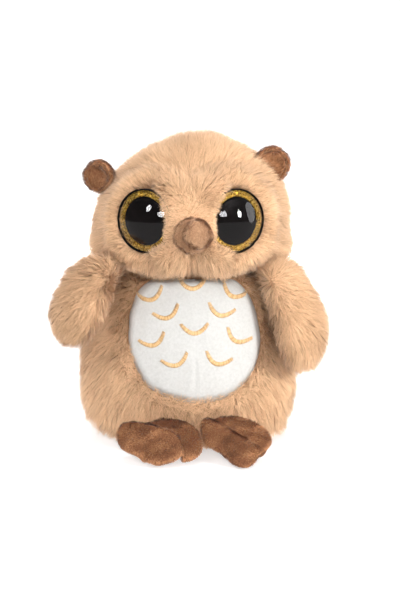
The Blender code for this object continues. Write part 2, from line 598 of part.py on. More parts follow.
def build_electronics(root):
    half_w, half_h = BOARD_W / 2, BOARD_H / 2
    box(
        "circuit_board", (-half_w, BOARD_Y - BOARD_THICK, -half_h), (half_w, BOARD_Y, half_h),
        "circuit_green", root=root,
    )
    face = BOARD_Y - BOARD_THICK - GAP
    box("sound_chip", (-5, face - 1.6, 4.5), (3, face, 11.5), "black_plastic", root=root)
    mic = empty("microphone_root", (9, face, 16), facing((0, -1, 0), "X"), root)
    turned("microphone", [(0, 0), (3, 0), (3, 2.4), (2.4, 2.7), (0, 2.7)], "steel", 14, root=mic)

    speaker = empty(
        "speaker_root", (0, -REAR_DEEP - FRONT_DEEP + WALL + GAP, SPEAKER_Z), facing((0, 1, 0), "X"), root,
    )
    r, deep = SPEAKER_R, SPEAKER_DEEP
    basket = [
        (r, 0), (r, 1.0), (r - 1.5, 1.0), (6.4, deep), (4.8, deep), (4.8, deep - 0.8), (5.9, deep - 0.8),
    ]
    basket += [(r - 2.2, 0.2), (r - 2.2, 0)]
    turned("speaker_basket", basket, "steel", ring=True, root=speaker)
    cone = [(0, 1.2), (3.4, 1.9), (r - 3.2, 0.0), (r - 3.4, 0.35), (3.6, 2.25), (0, 1.55)]
    turned("speaker_cone", cone, "speaker_paper", root=speaker)
    turned(
        "speaker_magnet", [(0, 2.6), (4.4, 2.6), (4.4, deep + 2.0), (0, deep + 2.0)], "steel", 16,
        root=speaker,
    )

    x, low = SCREW_X, -9.9
    box(
        "power_switch_body", (x - 3.2, -15.4, POWER_Z - 4.4), (x + 3.2, low - 0.8, POWER_Z + 4.4), "steel",
        root=root,
    )
    knob_z = POWER_Z - POWER_TRAVEL / 2
    knob_low = (x - 1.7, low - 0.5, knob_z - 2.0)
    box("power_switch_knob", knob_low, (x + 1.7, -0.6, knob_z + 2.0), "white_plastic", root=root)
    for i, colour in enumerate(("red", "black")):
        side = -1 if i else 1
        path = [
            (side * 6.4, -24.2, -10), (side * 9, -23.6, -6), (side * 11.4, -22.2, -1), (side * 12, -21.0, 2),
        ]
        wire(f"speaker_wire_{colour}", path, f"wire_{colour}", root=root)


def build_switch_wires(stuffing, switch, back, module):
    """Two leads from the squeeze switch, through a channel in the filling, into the module's front."""
    bpy.context.view_layer.update()
    start = switch.matrix_world @ Vector((0, 0, (back - GAP) * MM)) / MM
    into = module.matrix_world @ (Vector((0, -REAR_DEEP - FRONT_DEEP + 6, 14)) * MM) / MM
    along = (into - start).normalized()
    channel = rod("wire_channel", 2.4, start - along * 3, into, None, 12, cutter=True)
    boolean(stuffing, channel)
    for i, colour in enumerate(("red", "black")):
        side = Vector((0.8 if i else -0.8, 0, 0))
        spread = [
            (share, side * (1 + 0.35 * math.sin(math.pi * share))) for share in (0, 0.25, 0.5, 0.75, 1)
        ]
        ends = [start.lerp(into, share) + out for share, out in spread]
        wire(f"switch_wire_{colour}", ends, f"wire_{colour}")


def build():
    body_cover, body_stuffing, pellets, room_for_body = build_body()
    head_cover, head_stuffing, clearance = build_head()
    for side, sign in sides():
        build_eye(side, head_cover, head_stuffing)
        build_ear(side, clearance)
        build_wing(side, sign, room_for_body, clearance)
        build_foot(side)
    build_beak(clearance)
    switch, back = build_squeeze_switch(body_stuffing)
    module = build_module([body_cover, body_stuffing, pellets])
    build_switch_wires(body_stuffing, switch, back, module)


build()
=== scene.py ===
"""A seated plush owl with long tan fur, on the model's own joints and bodies.

Named sizes, tables and numbers that are multiplied by MM are in millimetres; the others are in metres.
"""

import math

import bmesh
import bpy
import numpy as np
from mathutils import Matrix, Vector, kdtree
from mathutils.bvhtree import BVHTree


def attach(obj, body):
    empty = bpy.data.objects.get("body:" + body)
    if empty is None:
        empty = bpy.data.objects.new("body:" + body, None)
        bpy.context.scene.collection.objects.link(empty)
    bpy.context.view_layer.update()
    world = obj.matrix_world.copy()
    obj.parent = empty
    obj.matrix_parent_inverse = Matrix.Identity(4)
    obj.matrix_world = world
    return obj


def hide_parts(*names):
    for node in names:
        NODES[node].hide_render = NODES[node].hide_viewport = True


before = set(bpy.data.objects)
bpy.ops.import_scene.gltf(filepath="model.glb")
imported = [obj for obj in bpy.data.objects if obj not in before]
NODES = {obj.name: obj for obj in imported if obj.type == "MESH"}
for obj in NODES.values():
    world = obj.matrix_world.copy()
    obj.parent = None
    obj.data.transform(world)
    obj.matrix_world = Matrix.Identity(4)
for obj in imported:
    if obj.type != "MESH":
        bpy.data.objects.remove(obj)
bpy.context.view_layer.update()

MM = 0.001


# ---- numbers

def unit(v):
    return v / np.maximum(np.linalg.norm(v, axis=-1, keepdims=True), 1e-12)


def ease(x, low, high):
    """0 below low, 1 above high, and smooth between."""
    t = np.clip((x - low) / (high - low), 0, 1)
    return t * t * (3 - 2 * t)


def waves(points, size, seed):
    """Smooth noise of about -1 to 1 from a few waves of that size, for each point."""
    count, rng = 10, np.random.default_rng(seed)
    way = unit(rng.normal(size=(count, 3))) * (2 * math.pi / size) * rng.uniform(0.6, 1.5, (count, 1))
    return np.sin(points @ way.T + rng.uniform(0, 2 * math.pi, count)).sum(1) * math.sqrt(2 / count) * 0.7


def waves3(points, size, seed):
    """The same as three numbers for each point, to push it about."""
    return np.stack([waves(points, size, seed + i) for i in range(3)], 1)


# ---- materials

def material(name, colour, rough=0.5, metal=0.0, **sockets):
    """A Principled material with plain values: (material, tree, shader)."""
    made = bpy.data.materials.new(name)
    made.use_nodes = True
    shader = made.node_tree.nodes["Principled BSDF"]
    shader.inputs["Base Color"].default_value = (*colour, 1)
    shader.inputs["Roughness"].default_value = rough
    shader.inputs["Metallic"].default_value = metal
    for key, value in sockets.items():
        shader.inputs[key.replace("_", " ")].default_value = value
    made.diffuse_color = (*colour, 1)
    return made, made.node_tree, shader


def node(tree, kind, settings=(), links=(), **values):
    """A node with its settings, input values and links: links maps an input to (node, output)."""
    made = tree.nodes.new("ShaderNode" + kind)
    for key, value in dict(settings).items():
        setattr(made, key, value)
    for key, value in values.items():
        made.inputs[key.replace("_", " ")].default_value = value
    for key, source in dict(links).items():
        tree.links.new(source[0].outputs[source[1]], made.inputs[key])
    return made


def join(source, output, target, key):
    """Links a node's output to an input."""
    target.id_data.links.new(source.outputs[output], target.inputs[key])


def mottled(name, dark, light, rough, size, metal=0.0, bump=0.0, bump_size=None, rough_spread=0.0, **sockets):
    """Colour that wanders between two colours over patches of a size, with a fine bump."""
    made, tree, shader = material(name, light, rough, metal, **sockets)
    where = node(tree, "TexCoord")
    spread = node(tree, "TexNoise", links={"Vector": (where, "Object")}, Scale=1 / size, Detail=4.0, Roughness=0.6)
    ramp = node(tree, "ValToRGB", links={"Fac": (spread, "Fac")})
    ramp.color_ramp.elements[0].position, ramp.color_ramp.elements[1].position = 0.3, 0.7
    ramp.color_ramp.elements[0].color, ramp.color_ramp.elements[1].color = (*dark, 1), (*light, 1)
    join(ramp, "Color", shader, "Base Color")
    if rough_spread:
        low, high = rough - rough_spread, rough + rough_spread
        span = node(tree, "MapRange", links={"Value": (spread, "Fac")}, To_Min=low, To_Max=high)
        join(span, "Result", shader, "Roughness")
    if bump:
        scale = 1 / (bump_size or size / 8)
        fine = node(tree, "TexNoise", links={"Vector": (where, "Object")}, Scale=scale, Detail=3.0)
        relief = node(tree, "Bump", links={"Height": (fine, "Fac")}, Strength=0.6, Distance=bump)
        join(relief, "Normal", shader, "Normal")
    return made


def shades(name, dark, light, count, rough=0.85, **sockets):
    """A row of plain materials from dark to light, for strands that each have one colour."""
    made = []
    for i in range(count):
        share = i / (count - 1)
        colour = [a * (1 - share) + b * share for a, b in zip(dark, light)]
        made.append(material(f"{name}_{i + 1}", colour, rough, **sockets)[0])
    return made


# ---- meshes

def piece(name, mesh, body, materials, stands_for=()):
    """A finished piece that rides on a body and stands for CAD nodes."""
    made = bpy.data.objects.new(name, mesh)
    bpy.context.scene.collection.objects.link(made)
    for each in materials if isinstance(materials, (list, tuple)) else [materials]:
        mesh.materials.append(each)
    mesh.shade_smooth()
    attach(made, body)
    if stands_for:
        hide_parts(*stands_for)
    return made


def mesh_from(name, points, faces):
    mesh = bpy.data.meshes.new(name)
    mesh.from_pydata([tuple(p) for p in np.asarray(points).tolist()], [], [tuple(f) for f in faces])
    mesh.update()
    return mesh


def mesh_of(name, bm):
    """A new mesh from a bmesh, which it frees."""
    mesh = bpy.data.meshes.new(name)
    bm.to_mesh(mesh)
    bm.free()
    return mesh


def opened(mesh):
    bm = bmesh.new()
    bm.from_mesh(mesh)
    return bm


def bands(start, rows, steps):
    """Faces between rows of points that each go round in so many steps, from the point numbered start."""
    return [
        (row + i, row + (i + 1) % steps, row + (i + 1) % steps + steps, row + i + steps)
        for row in range(start, start + rows * steps, steps) for i in range(steps)
    ]


def search_tree(mesh):
    return BVHTree.FromPolygons([v.co for v in mesh.vertices], [p.vertices for p in mesh.polygons])


def with_modifiers(mesh, *steps):
    """The mesh after modifiers: each step is (type, settings)."""
    guide = bpy.data.objects.new("guide", mesh)
    bpy.context.scene.collection.objects.link(guide)
    for kind, settings in steps:
        modifier = guide.modifiers.new(kind, kind)
        for key, value in settings.items():
            setattr(modifier, key, value)
    bpy.context.view_layer.update()
    made = bpy.data.meshes.new_from_object(guide.evaluated_get(bpy.context.evaluated_depsgraph_get()))
    bpy.data.objects.remove(guide)
    return made


def points_of(mesh):
    co = np.empty(len(mesh.vertices) * 3, np.float32)
    mesh.vertices.foreach_get("co", co)
    return co.reshape(-1, 3).astype(float)


def normals_of(mesh):
    co = np.empty(len(mesh.vertices) * 3, np.float32)
    mesh.vertices.foreach_get("normal", co)
    return co.reshape(-1, 3).astype(float)


def put_points(mesh, points):
    mesh.vertices.foreach_set("co", np.asarray(points, np.float32).ravel())
    mesh.update()


def node_points(name):
    """A CAD node's corners in the row frame."""
    made = NODES[name]
    return [made.matrix_world @ v.co for v in made.data.vertices]


def hull(*names, voxel=1.5, relax=6):
    """A smooth closed surface round CAD nodes."""
    bm = bmesh.new()
    for name in names:
        for p in node_points(name):
            bm.verts.new(p)
    done = bmesh.ops.convex_hull(bm, input=bm.verts)
    extra = [g for g in done["geom_interior"] + done["geom_unused"] if isinstance(g, bmesh.types.BMVert)]
    bmesh.ops.delete(bm, geom=list(set(extra)), context="VERTS")
    return with_modifiers(
        mesh_of("hull", bm),
        ("REMESH", {"mode": "VOXEL", "voxel_size": voxel * MM}),
        ("SMOOTH", {"factor": 0.5, "iterations": relax}),
    )


class Surface:
    """A mesh as arrays, to set strands on."""

    def __init__(self, mesh):
        mesh.calc_loop_triangles()
        self.points, self.normals = points_of(mesh), normals_of(mesh)
        tris = np.empty(len(mesh.loop_triangles) * 3, np.int32)
        mesh.loop_triangles.foreach_get("vertices", tris)
        self.tris = tris.reshape(-1, 3)
        a, b, c = (self.points[self.tris[:, i]] for i in range(3))
        self.areas = np.linalg.norm(np.cross(b - a, c - a), axis=1) / 2

    def sample(self, per_mm2, rng):
        """(points, normals), evenly spread by area."""
        count = int(self.areas.sum() * 1e6 * per_mm2)
        which = rng.choice(len(self.tris), count, p=self.areas / self.areas.sum())
        u, v = rng.random(count), rng.random(count)
        over = u + v > 1
        u[over], v[over] = 1 - u[over], 1 - v[over]
        share = np.stack([1 - u - v, u, v], 1)[:, :, None]
        corners = self.tris[which]
        return (self.points[corners] * share).sum(1), unit((self.normals[corners] * share).sum(1))


def laid(surface, per_mm2, comb, keep, stray, rng, seed):
    """Roots over a surface, with the normal, lie, length and rise of the blade on each."""
    root, normal = surface.sample(per_mm2, rng)
    if keep is not None:
        here = keep(root, normal)
        root, normal = root[here], normal[here]
    lie, length, stand = comb(root, normal)
    count = len(root)
    lie = lie + 0.24 * waves3(root, 0.018, seed + 40) + 0.14 * waves3(root, 0.006, seed + 50)
    lie += rng.normal(size=(count, 3)) * stray
    lie = unit(lie - normal * (lie * normal).sum(1, keepdims=True))
    rise = stand + 0.12 * waves(root, 0.006, seed + 70) + rng.normal(size=count) * stray * 0.6
    return root, normal, lie, length * rng.uniform(0.78, 1.12, count), np.clip(rise, 0.12, 1.2)


def keep_up(floor, *rows, near=0.0025):
    """Bends points up where they come nearer to a floor than near, in metres, or would pass through it."""
    for points in rows if floor is not None else ():
        low = points[:, 2] < floor + near
        points[low, 2] = floor + near * np.exp((points[low, 2] - floor - near) / near) * 0.999


def blades(name, body, palette, verts, normals, loops, sizes, tints):
    """One mesh of many blades: verts is (blades, corners, 3) and loops joins a blade's corners into faces."""
    count, corners = verts.shape[:2]
    mesh = bpy.data.meshes.new(name)
    mesh.vertices.add(count * corners)
    mesh.vertices.foreach_set("co", verts.astype(np.float32).ravel())
    joined = (np.arange(count)[:, None] * corners + np.array(loops)).ravel().astype(np.int32)
    mesh.loops.add(len(joined))
    mesh.loops.foreach_set("vertex_index", joined)
    mesh.polygons.add(count * len(sizes))
    first = np.concatenate([[0], np.cumsum(sizes)[:-1]])
    starts = (np.arange(count)[:, None] * len(loops) + first).ravel().astype(np.int32)
    mesh.polygons.foreach_set("loop_start", starts)
    mesh.polygons.foreach_set("material_index", np.stack(tints, 1).ravel().astype(np.int32))
    mesh.update(calc_edges=True)
    mesh.validate()
    piece(name, mesh, body, palette)
    mesh.normals_split_custom_set_from_vertices(normals.reshape(-1, 3).tolist())


def strands(
    name, surface, body, palette, per_mm2, comb, keep=None, width=0.32, clump=1.2, pull=0.2, soft=0.85, stray=0.2,
    seed=1, floor=None, tone=None,
):
    """Tapered, bent blades of pile on a surface. comb(points, normals) gives each blade's lie along the surface,
    its length in metres and how far it stands up; clump gathers tips every so many millimetres."""
    rng = np.random.default_rng(seed)
    root, normal, lie, length, rise = laid(surface, per_mm2, comb, keep, stray, rng, seed)
    count = len(root)
    middle = root + unit(normal * rise[:, None] * 1.35 + lie) * (length * 0.48)[:, None]
    tip = middle + unit(normal * rise[:, None] * 0.75 + lie) * (length * 0.52)[:, None]

    # Tips gather at clump centres.
    chosen = rng.choice(count, max(8, int(count / (per_mm2 * clump**2))), replace=False)
    tree = kdtree.KDTree(len(chosen))
    for i, p in enumerate((root[chosen] + lie[chosen] * 0.25 * length[chosen, None]).tolist()):
        tree.insert(p, i)
    tree.balance()
    nearest = np.array([tree.find(p)[1] for p in (root + lie * 0.25 * length[:, None]).tolist()])
    gather = pull * rng.uniform(0.5, 1.15, count)[:, None]
    to_tip = tip[chosen][nearest] - tip
    to_middle = middle[chosen][nearest] - middle
    far = np.linalg.norm(to_tip, axis=1, keepdims=True)
    gather *= 1 - ease(far, 0.004, 0.007)
    tip += to_tip * gather
    middle += to_middle * gather * 0.4
    keep_up(floor, root, middle, tip)

    # Blades face outwards, give or take a roll.
    along = unit(tip - root)
    side = unit(np.cross(along, normal))
    roll = rng.normal(size=count) * 0.6
    side = side * np.cos(roll)[:, None] + np.cross(along, side) * np.sin(roll)[:, None]
    half = (width * MM / 2 * rng.uniform(0.7, 1.25, count))[:, None] * side
    verts = np.stack([root - half, root + half, middle + half * 0.85, middle - half * 0.85, tip], 1)
    face = unit(np.cross(side, along))
    face *= np.sign((face * normal).sum(1, keepdims=True))
    lit = unit(normal * soft + face * (1 - soft))
    low = unit(lit * 0.6 + normal * 0.4)
    normals = np.stack([low, low, lit, lit, unit(lit + along * 0.25)], 1)

    # Colour goes by clump, patch and strand, darker near the root.
    shade = 0.66 + 0.09 * waves(root, 0.02, seed + 80) + 0.04 * rng.normal(size=len(chosen))[nearest]
    shade += 0.13 * rng.normal(size=count)
    if tone is not None:
        shade += tone(root, normal)
    steps = len(palette)
    top = np.clip((shade * steps).astype(int), 1, steps - 1)
    bottom = np.clip(top - rng.integers(1, 4, count), 0, steps - 1)
    blades(name, body, palette, verts, normals, [0, 1, 2, 3, 3, 2, 4], [4, 3], [bottom, top])


def fluff(
    name, surface, body, palette, per_mm2, comb, keep=None, width=0.24, stray=0.45, seed=1, floor=None, tone=None,
):
    """Fine straight fibres between the strands, which lie more freely than they do."""
    rng = np.random.default_rng(seed + 500)
    root, normal, lie, length, rise = laid(surface, per_mm2, comb, keep, stray, rng, seed)
    count = len(root)
    along = unit(normal * rise[:, None] * 1.1 + lie)
    tip = root + along * (length * rng.uniform(0.7, 1.08, count))[:, None]
    keep_up(floor, root, tip)
    side = unit(np.cross(along, normal) + 0.5 * rng.normal(size=(count, 3)))
    half = (width * MM / 2 * rng.uniform(0.7, 1.3, count))[:, None] * side
    verts = np.stack([root - half, root + half, tip], 1)
    normals = np.stack([normal, normal, unit(normal + along * 0.3)], 1)
    shade = 0.68 + 0.09 * waves(root, 0.02, seed + 80) + 0.15 * rng.normal(size=count)
    if tone is not None:
        shade += tone(root, normal)
    tint = np.clip((shade * len(palette)).astype(int), 0, len(palette) - 1)
    blades(name, body, palette, verts, normals, [0, 1, 2], [3], [tint])


# ---- camera, light and floor

def look(at, azimuth, elevation, distance, lens):
    """The camera, aimed at a point from an angle and a distance."""
    a, e = math.radians(azimuth), math.radians(elevation)
    back = Vector((math.sin(a) * math.cos(e), -math.cos(a) * math.cos(e), math.sin(e)))
    camera = bpy.data.objects.new("camera", bpy.data.cameras.new("camera"))
    camera.data.lens = lens
    camera.location = Vector(at) + back * distance
    camera.rotation_mode = "QUATERNION"
    camera.rotation_quaternion = (-back).to_track_quat("-Z", "Y")
    bpy.context.scene.collection.objects.link(camera)
    bpy.context.scene.camera = camera


def lamp(name, at, aim, size, power, colour=(1, 1, 1), tall=None, mirrored=True):
    """A soft lamp that faces a point. mirrored says whether glossy surfaces show it."""
    data = bpy.data.lights.new(name, "AREA")
    data.shape = "ELLIPSE"
    data.size, data.size_y = size, tall or size
    data.energy = power
    data.color = colour
    made = bpy.data.objects.new(name, data)
    made.location = at
    made.rotation_euler = (Vector(aim) - Vector(at)).to_track_quat("-Z", "Y").to_euler()
    made.visible_glossy = mirrored
    bpy.context.scene.collection.objects.link(made)


def room():
    """The world's light. Below, it stands in for the table in reflections, where the bright paper is left out."""
    world = bpy.data.worlds.new("studio")
    bpy.context.scene.world = world
    world.use_nodes = True
    tree = world.node_tree
    sky = tree.nodes["Background"]
    sky.inputs["Color"].default_value = (1.0, 0.99, 0.975, 1)
    way = node(tree, "TexCoord")
    split = node(tree, "SeparateXYZ", links={"Vector": (way, "Generated")})
    horizon = {"From_Min": -0.12, "From_Max": -0.08}
    level = node(tree, "MapRange", links={"Value": (split, "Z")}, **horizon, To_Min=0.5, To_Max=0.08)
    join(level, "Result", sky, "Strength")


def lamps():
    """Soft lamps round the owl. The two that are left out of reflections would spoil the black of the eyes."""
    middle = (0, 0, 0.08)
    lamp("front_box", (0.066, -0.95, 0.41), middle, 0.36, 4.0, (0.99, 0.99, 1.0), 0.27)
    lamp("high_box", (-0.38, -0.565, 0.52), middle, 0.16, 2.0, (0.99, 0.99, 1.0), 0.24)
    lamp("left_box", (-0.78, 0.3, 0.34), middle, 0.6, 3.8, (1.0, 0.99, 0.98), 0.6, mirrored=False)
    lamp("right_box", (0.66, -0.55, 0.34), middle, 0.17, 5.2, (1.0, 0.985, 0.96), 0.28)
    lamp("side_box", (0.92, -0.02, 0.3), middle, 0.5, 2.6, (1.0, 0.99, 0.97), 0.7)
    lamp("top_box", (0.12, -0.22, 1.0), middle, 0.6, 5.3, mirrored=False)
    lamp("back_box", (0.1, 0.8, 0.6), middle, 0.6, 5.0)


def staged(name, points, faces, finish):
    """A part of the studio, left out of reflections."""
    made = bpy.data.objects.new(name, mesh_from(name, points, faces))
    made.data.materials.append(finish)
    made.visible_glossy = False
    bpy.context.scene.collection.objects.link(made)
    return made


def floor_paper():
    """Pale paper that glows a little, most of all behind the owl, so that it stays white where lamps are weak."""
    paper, tree, shader = material("floor_paper", (0.96, 0.96, 0.96), 0.95)
    grain = node(tree, "TexNoise", Scale=60.0, Detail=2.0)
    tint = node(tree, "MapRange", links={"Value": (grain, "Fac")}, To_Min=0.64, To_Max=0.65)
    join(tint, "Result", shader, "Base Color")
    shader.inputs["Emission Color"].default_value = (1, 1, 1, 1)
    where = node(tree, "NewGeometry")
    far = node(tree, "VectorMath", {"operation": "LENGTH"}, {"Vector": (where, "Position")})
    split = node(tree, "SeparateXYZ", links={"Vector": (where, "Position")})
    glow = node(tree, "Math", {"operation": "MAXIMUM"})
    for i, (source, output, start, end, first, last) in enumerate((
        (far, "Value", 0.27, 0.6, 0.56, 0.42),
        (split, "Y", 0.05, 0.5, 0.42, 1.0),
    )):
        span = {"From_Min": start, "From_Max": end, "To_Min": first, "To_Max": last}
        join(node(tree, "MapRange", links={"Value": (source, output)}, **span), "Result", glow, i)
    join(glow, "Value", shader, "Emission Strength")
    return paper


def backdrop():
    """A sheet of paper that lies under the owl and sweeps up behind it, and a white bowl round it all."""
    wide, flat, bend, top = 3.0, 1.8, 0.8, 3.0
    turn = [math.radians(t) for t in range(9, 91, 9)]
    sweep = [(-wide, 0.0), (flat, 0.0)]
    sweep += [(flat + bend * math.sin(t), bend - bend * math.cos(t)) for t in turn]
    sweep += [(flat + bend, top)]
    points = [(x, y, z) for y, z in sweep for x in (-wide, wide)]
    faces = [(2 * i, 2 * i + 1, 2 * i + 3, 2 * i + 2) for i in range(len(sweep) - 1)]
    staged("floor", points, faces, floor_paper()).data.shade_smooth()

    # Only the camera sees the bowl: every view has a pale ground, and the light stays the same.
    white, _, shader = material("bowl_paper", (0.96, 0.96, 0.96), 0.95)
    shader.inputs["Emission Color"].default_value = (1, 1, 1, 1)
    shader.inputs["Emission Strength"].default_value = 1.0
    rim, turns = [(0.55, 0.0004), (2.2, 0.0004), (2.5, 0.3), (2.5, 2.2)], 72
    angles = [2 * math.pi * i / turns for i in range(turns)]
    points = [(r * math.cos(a), r * math.sin(a), z) for r, z in rim for a in angles]
    bowl = staged("bowl", points, bands(0, len(rim) - 1, turns), white)
    bowl.visible_diffuse = bowl.visible_transmission = bowl.visible_shadow = False


def studio():
    bpy.context.scene.view_settings.view_transform = "Standard"
    look((0.0044, 0, 0.066), 0, 10, 0.85, 104.8)
    room()
    lamps()
    backdrop()


# ---- the owl's places

EYE_R = 15.0  # the eye's cup
EYE_BASE = 8.1  # from the washer behind the cloth to the eye's base
PILE_ROOT = 3.0  # the fur's skin lies this far under the CAD covers
HEAD_PILE, BODY_PILE, WING_PILE = 8.4, 8.6, 7.8  # how long the fur is
HEAD_HEM, BODY_TOP = 85.4, 83.6  # no fur grows between these heights, where the neck is
BEAK_X = 0.9
BEAK = np.array([BEAK_X, -41.0, 106.8]) * MM


def eye_place(side):
    """(middle of the eye's base, its outward axis)."""
    dome = np.mean([tuple(p) for p in node_points(f"eye_{side}_dome")], 0)
    washer = np.mean([tuple(p) for p in node_points(f"eye_{side}_washer")], 0)
    axis = unit(dome - washer)
    return washer + axis * EYE_BASE * MM, axis


EYES = {side: eye_place(side) for side in ("left", "right")}


def from_eye(points, side):
    """(distance from the eye's axis, height above its base, unit vector from the axis), for each point."""
    base, axis = EYES[side]
    off = points - base
    up = off @ axis
    out = off - up[:, None] * axis
    far = np.linalg.norm(out, axis=1)
    return far, up, out / np.maximum(far, 1e-9)[:, None]


# ---- fur colours

TAN = shades(
    "tan_pile", (0.34, 0.175, 0.08), (0.9, 0.59, 0.35), 9, rough=0.9, Sheen_Weight=0.18, Sheen_Roughness=0.5,
)
TAN_SKIN = mottled(
    "tan_backing", (0.42, 0.22, 0.115), (0.56, 0.32, 0.18), 0.95, 0.006, bump=0.0004, bump_size=0.0008,
)


def beak_side(away, side):
    """1 round the half of an eye's edge that faces the beak, 0 round the other half."""
    base, axis = EYES[side]
    across = (BEAK - base) * [1, 1, 0]
    across = unit(across - axis * (across @ axis))
    return ease(away @ across, 0.02, 0.5)


def head_skin():
    """The head's cloth under its fur."""
    mesh = hull("head_cover", voxel=1.4, relax=6)
    p, n = points_of(mesh), normals_of(mesh)
    x, z = p[:, 0] / MM, p[:, 2] / MM
    front = ease(-n[:, 1], 0.2, 0.8)
    out = np.full(len(p), -PILE_ROOT)
    # Two cheeks under the beak with a crease between them, and a low bump on the crown.
    for side in (-1, 1):
        near = np.exp(-(((x - BEAK_X - side * 9.5) / 8.0) ** 2) - ((z - 92.5) / 6.0) ** 2)
        out += 2.6 * near * front
    out -= 2.4 * np.exp(-(((x - BEAK_X) / 1.6) ** 2)) * (1 - ease(z, 95, 100)) * front
    out += 0.8 * np.exp(-(((x - 6.0) / 14.0) ** 2)) * ease(z, 136, 146)
    # The cloth stands up between the eyes, as a bridge that runs down to the beak.
    bridge = np.exp(-(((x - BEAK_X) / 8.0) ** 2)) * ease(z, 98, 106) * (1 - ease(z, 118, 134)) * front
    out += 4.4 * bridge
    # It swells round each eye, where the washer pulls the cup into the filling.
    swell = np.zeros(len(p))
    for side in ("left", "right"):
        far, up, _ = from_eye(p, side)
        beyond = far / MM - EYE_R
        here = np.exp(-(((beyond - 2.5) / 5.5) ** 2)) * ease(beyond, -1.2, 0.8) * (up > -10 * MM)
        swell = np.maximum(swell, here)
    out += (4.4 - 1.6 * bridge) * swell
    # The cheeks are full below, where they meet the wings.
    out += 2.2 * ease(np.abs(x), 26, 40) * ease(z, 84, 88) * (1 - ease(z, 92, 102))
    p += n * (out * MM)[:, None]
    # Beside the beak the cloth folds over the eye's edge.
    for side in ("left", "right"):
        far, up, away = from_eye(p, side)
        beyond = far / MM - EYE_R
        inner = beak_side(away, side) * (up > -6 * MM)
        # It stands highest above the middle of that side, and leans in less towards the top and the bottom.
        above, below = ease(away[:, 2], 0.3, 0.85), ease(-away[:, 2], 0.25, 0.8)
        height = (5.4 + 1.0 * above - 3.2 * below) * inner * np.exp(-(((beyond - 1.5) / 4.5) ** 2))
        p += EYES[side][1] * (height * ease(beyond, -1.5, 0.5) * MM)[:, None]
        lean = 3.0 * inner * (1 - 0.75 * above - 0.9 * below) * ease(beyond, -1.5, 0.3) * (1 - ease(beyond, 2.5, 8))
        p -= away * (lean * MM)[:, None]
    put_points(mesh, p)
    made = piece("head_fabric", mesh, "head", TAN_SKIN, ("head_cover", "head_stuffing"))
    return made


def head_comb(p, n):
    """The fur runs out from the beak and down, short round the beak and the eyes, and long under the chin."""
    lie = unit(p - BEAK) + np.array([0, 0.1, -0.35])
    lie[:, 2] -= 0.5 * ease(p[:, 1], -0.01, 0.03)
    length = np.full(len(p), HEAD_PILE * MM)
    stand = np.full(len(p), 0.6)
    for side in ("left", "right"):
        far, _, out = from_eye(p, side)
        near = (1 - ease(far, (EYE_R + 1) * MM, (EYE_R + 8) * MM))[:, None]
        inner = beak_side(out, side)[:, None]
        lie = lie * (1 - 0.8 * near) + 1.5 * near * (-out * inner + out * (1 - inner) * 0.8)
        stand = stand + 0.1 * near[:, 0] * inner[:, 0] - 0.1 * near[:, 0] * (1 - inner[:, 0])
        corner = ease(np.abs(out[:, 2]), 0.25, 0.8) * inner[:, 0] * near[:, 0]
        stand = stand + 0.35 * corner
        length = length * (1 - 0.35 * near[:, 0]) * (1 - 0.4 * corner)
    close = 1 - ease(np.linalg.norm((p - BEAK) * [1, 0.5, 1], axis=1), 10 * MM, 17 * MM)
    length = length * (1 - 0.55 * close)
    stand = stand * (1 - 0.4 * close)
    hem = 1 - ease(p[:, 2], 0.087, 0.097)
    chin = hem * ease(-p[:, 1], 0.0, 0.02)
    lie[:, 2] -= 0.9 * hem + 0.7 * chin
    stand = stand * (1 - 0.25 * (hem - chin))
    length = length * (1 + 0.25 * chin)
    return lie, length, stand


def head_keep(p, n):
    here = np.ones(len(p), bool)
    for side in ("left", "right"):
        far, up, away = from_eye(p, side)
        here &= (far > (EYE_R + 0.2 - 3.0 * beak_side(away, side)) * MM) | (up < -9 * MM)
    here &= (np.hypot(p[:, 0] - BEAK[0], p[:, 2] - BEAK[2]) > 5.5 * MM) | (p[:, 1] > 0)
    here &= p[:, 2] > HEAD_HEM * MM
    return here


# The sound module's own frame, which leans with the back, and half the width and height of the opening for it.
MODULE = Matrix.Translation(Vector((0, 35.0, 43.0)) * MM) @ Matrix.Rotation(math.radians(9.0), 4, "X")
OPENING = (19.5, 27.5)


def in_opening(p, margin):
    """Points over the opening for the sound module in the back."""
    back = np.array(MODULE.inverted())
    q = p @ back[:3, :3].T + back[:3, 3]
    across, up = np.abs(q[:, 0]), np.abs(q[:, 2])
    return (across < (OPENING[0] + margin) * MM) & (up < (OPENING[1] + margin) * MM) & (q[:, 1] > -8 * MM)


PANEL_MIDDLE = (1.7, 53.5)
PANEL_EDGE = [  # (across, up) of the tummy panel's seam, from in front
    (34.6, 52.7), (33.6, 60.0), (31.6, 68.0), (28.4, 75.0), (23.5, 80.5), (12.0, 83.0), (1.5, 83.2), (-9.0, 83.0),
    (-20.5, 81.2), (-26.0, 76.5), (-29.6, 67.5), (-31.0, 56.5), (-30.4, 48.0), (-27.6, 40.0), (-21.9, 31.6),
    (-14.0, 27.4), (-5.0, 24.6), (4.0, 23.6), (13.0, 24.6), (20.5, 27.4), (27.4, 32.6), (32.2, 40.5), (34.2, 46.5),
]


def panel_radius(angle):
    """The panel's radius at each angle, smooth round the ring."""
    edge = np.array(PANEL_EDGE) - PANEL_MIDDLE
    known, radii = np.arctan2(edge[:, 1], edge[:, 0]), np.hypot(edge[:, 0], edge[:, 1])
    gap = (angle[:, None] - known[None, :] + math.pi) % (2 * math.pi) - math.pi
    weight = np.exp(-((gap / 0.16) ** 2))
    return (weight * radii).sum(1) / weight.sum(1) * MM


def in_panel(p, margin):
    dx, dz = p[:, 0] - PANEL_MIDDLE[0] * MM, p[:, 2] - PANEL_MIDDLE[1] * MM
    return (np.hypot(dx, dz) < panel_radius(np.arctan2(dz, dx)) + margin * MM) & (p[:, 1] < -5 * MM)


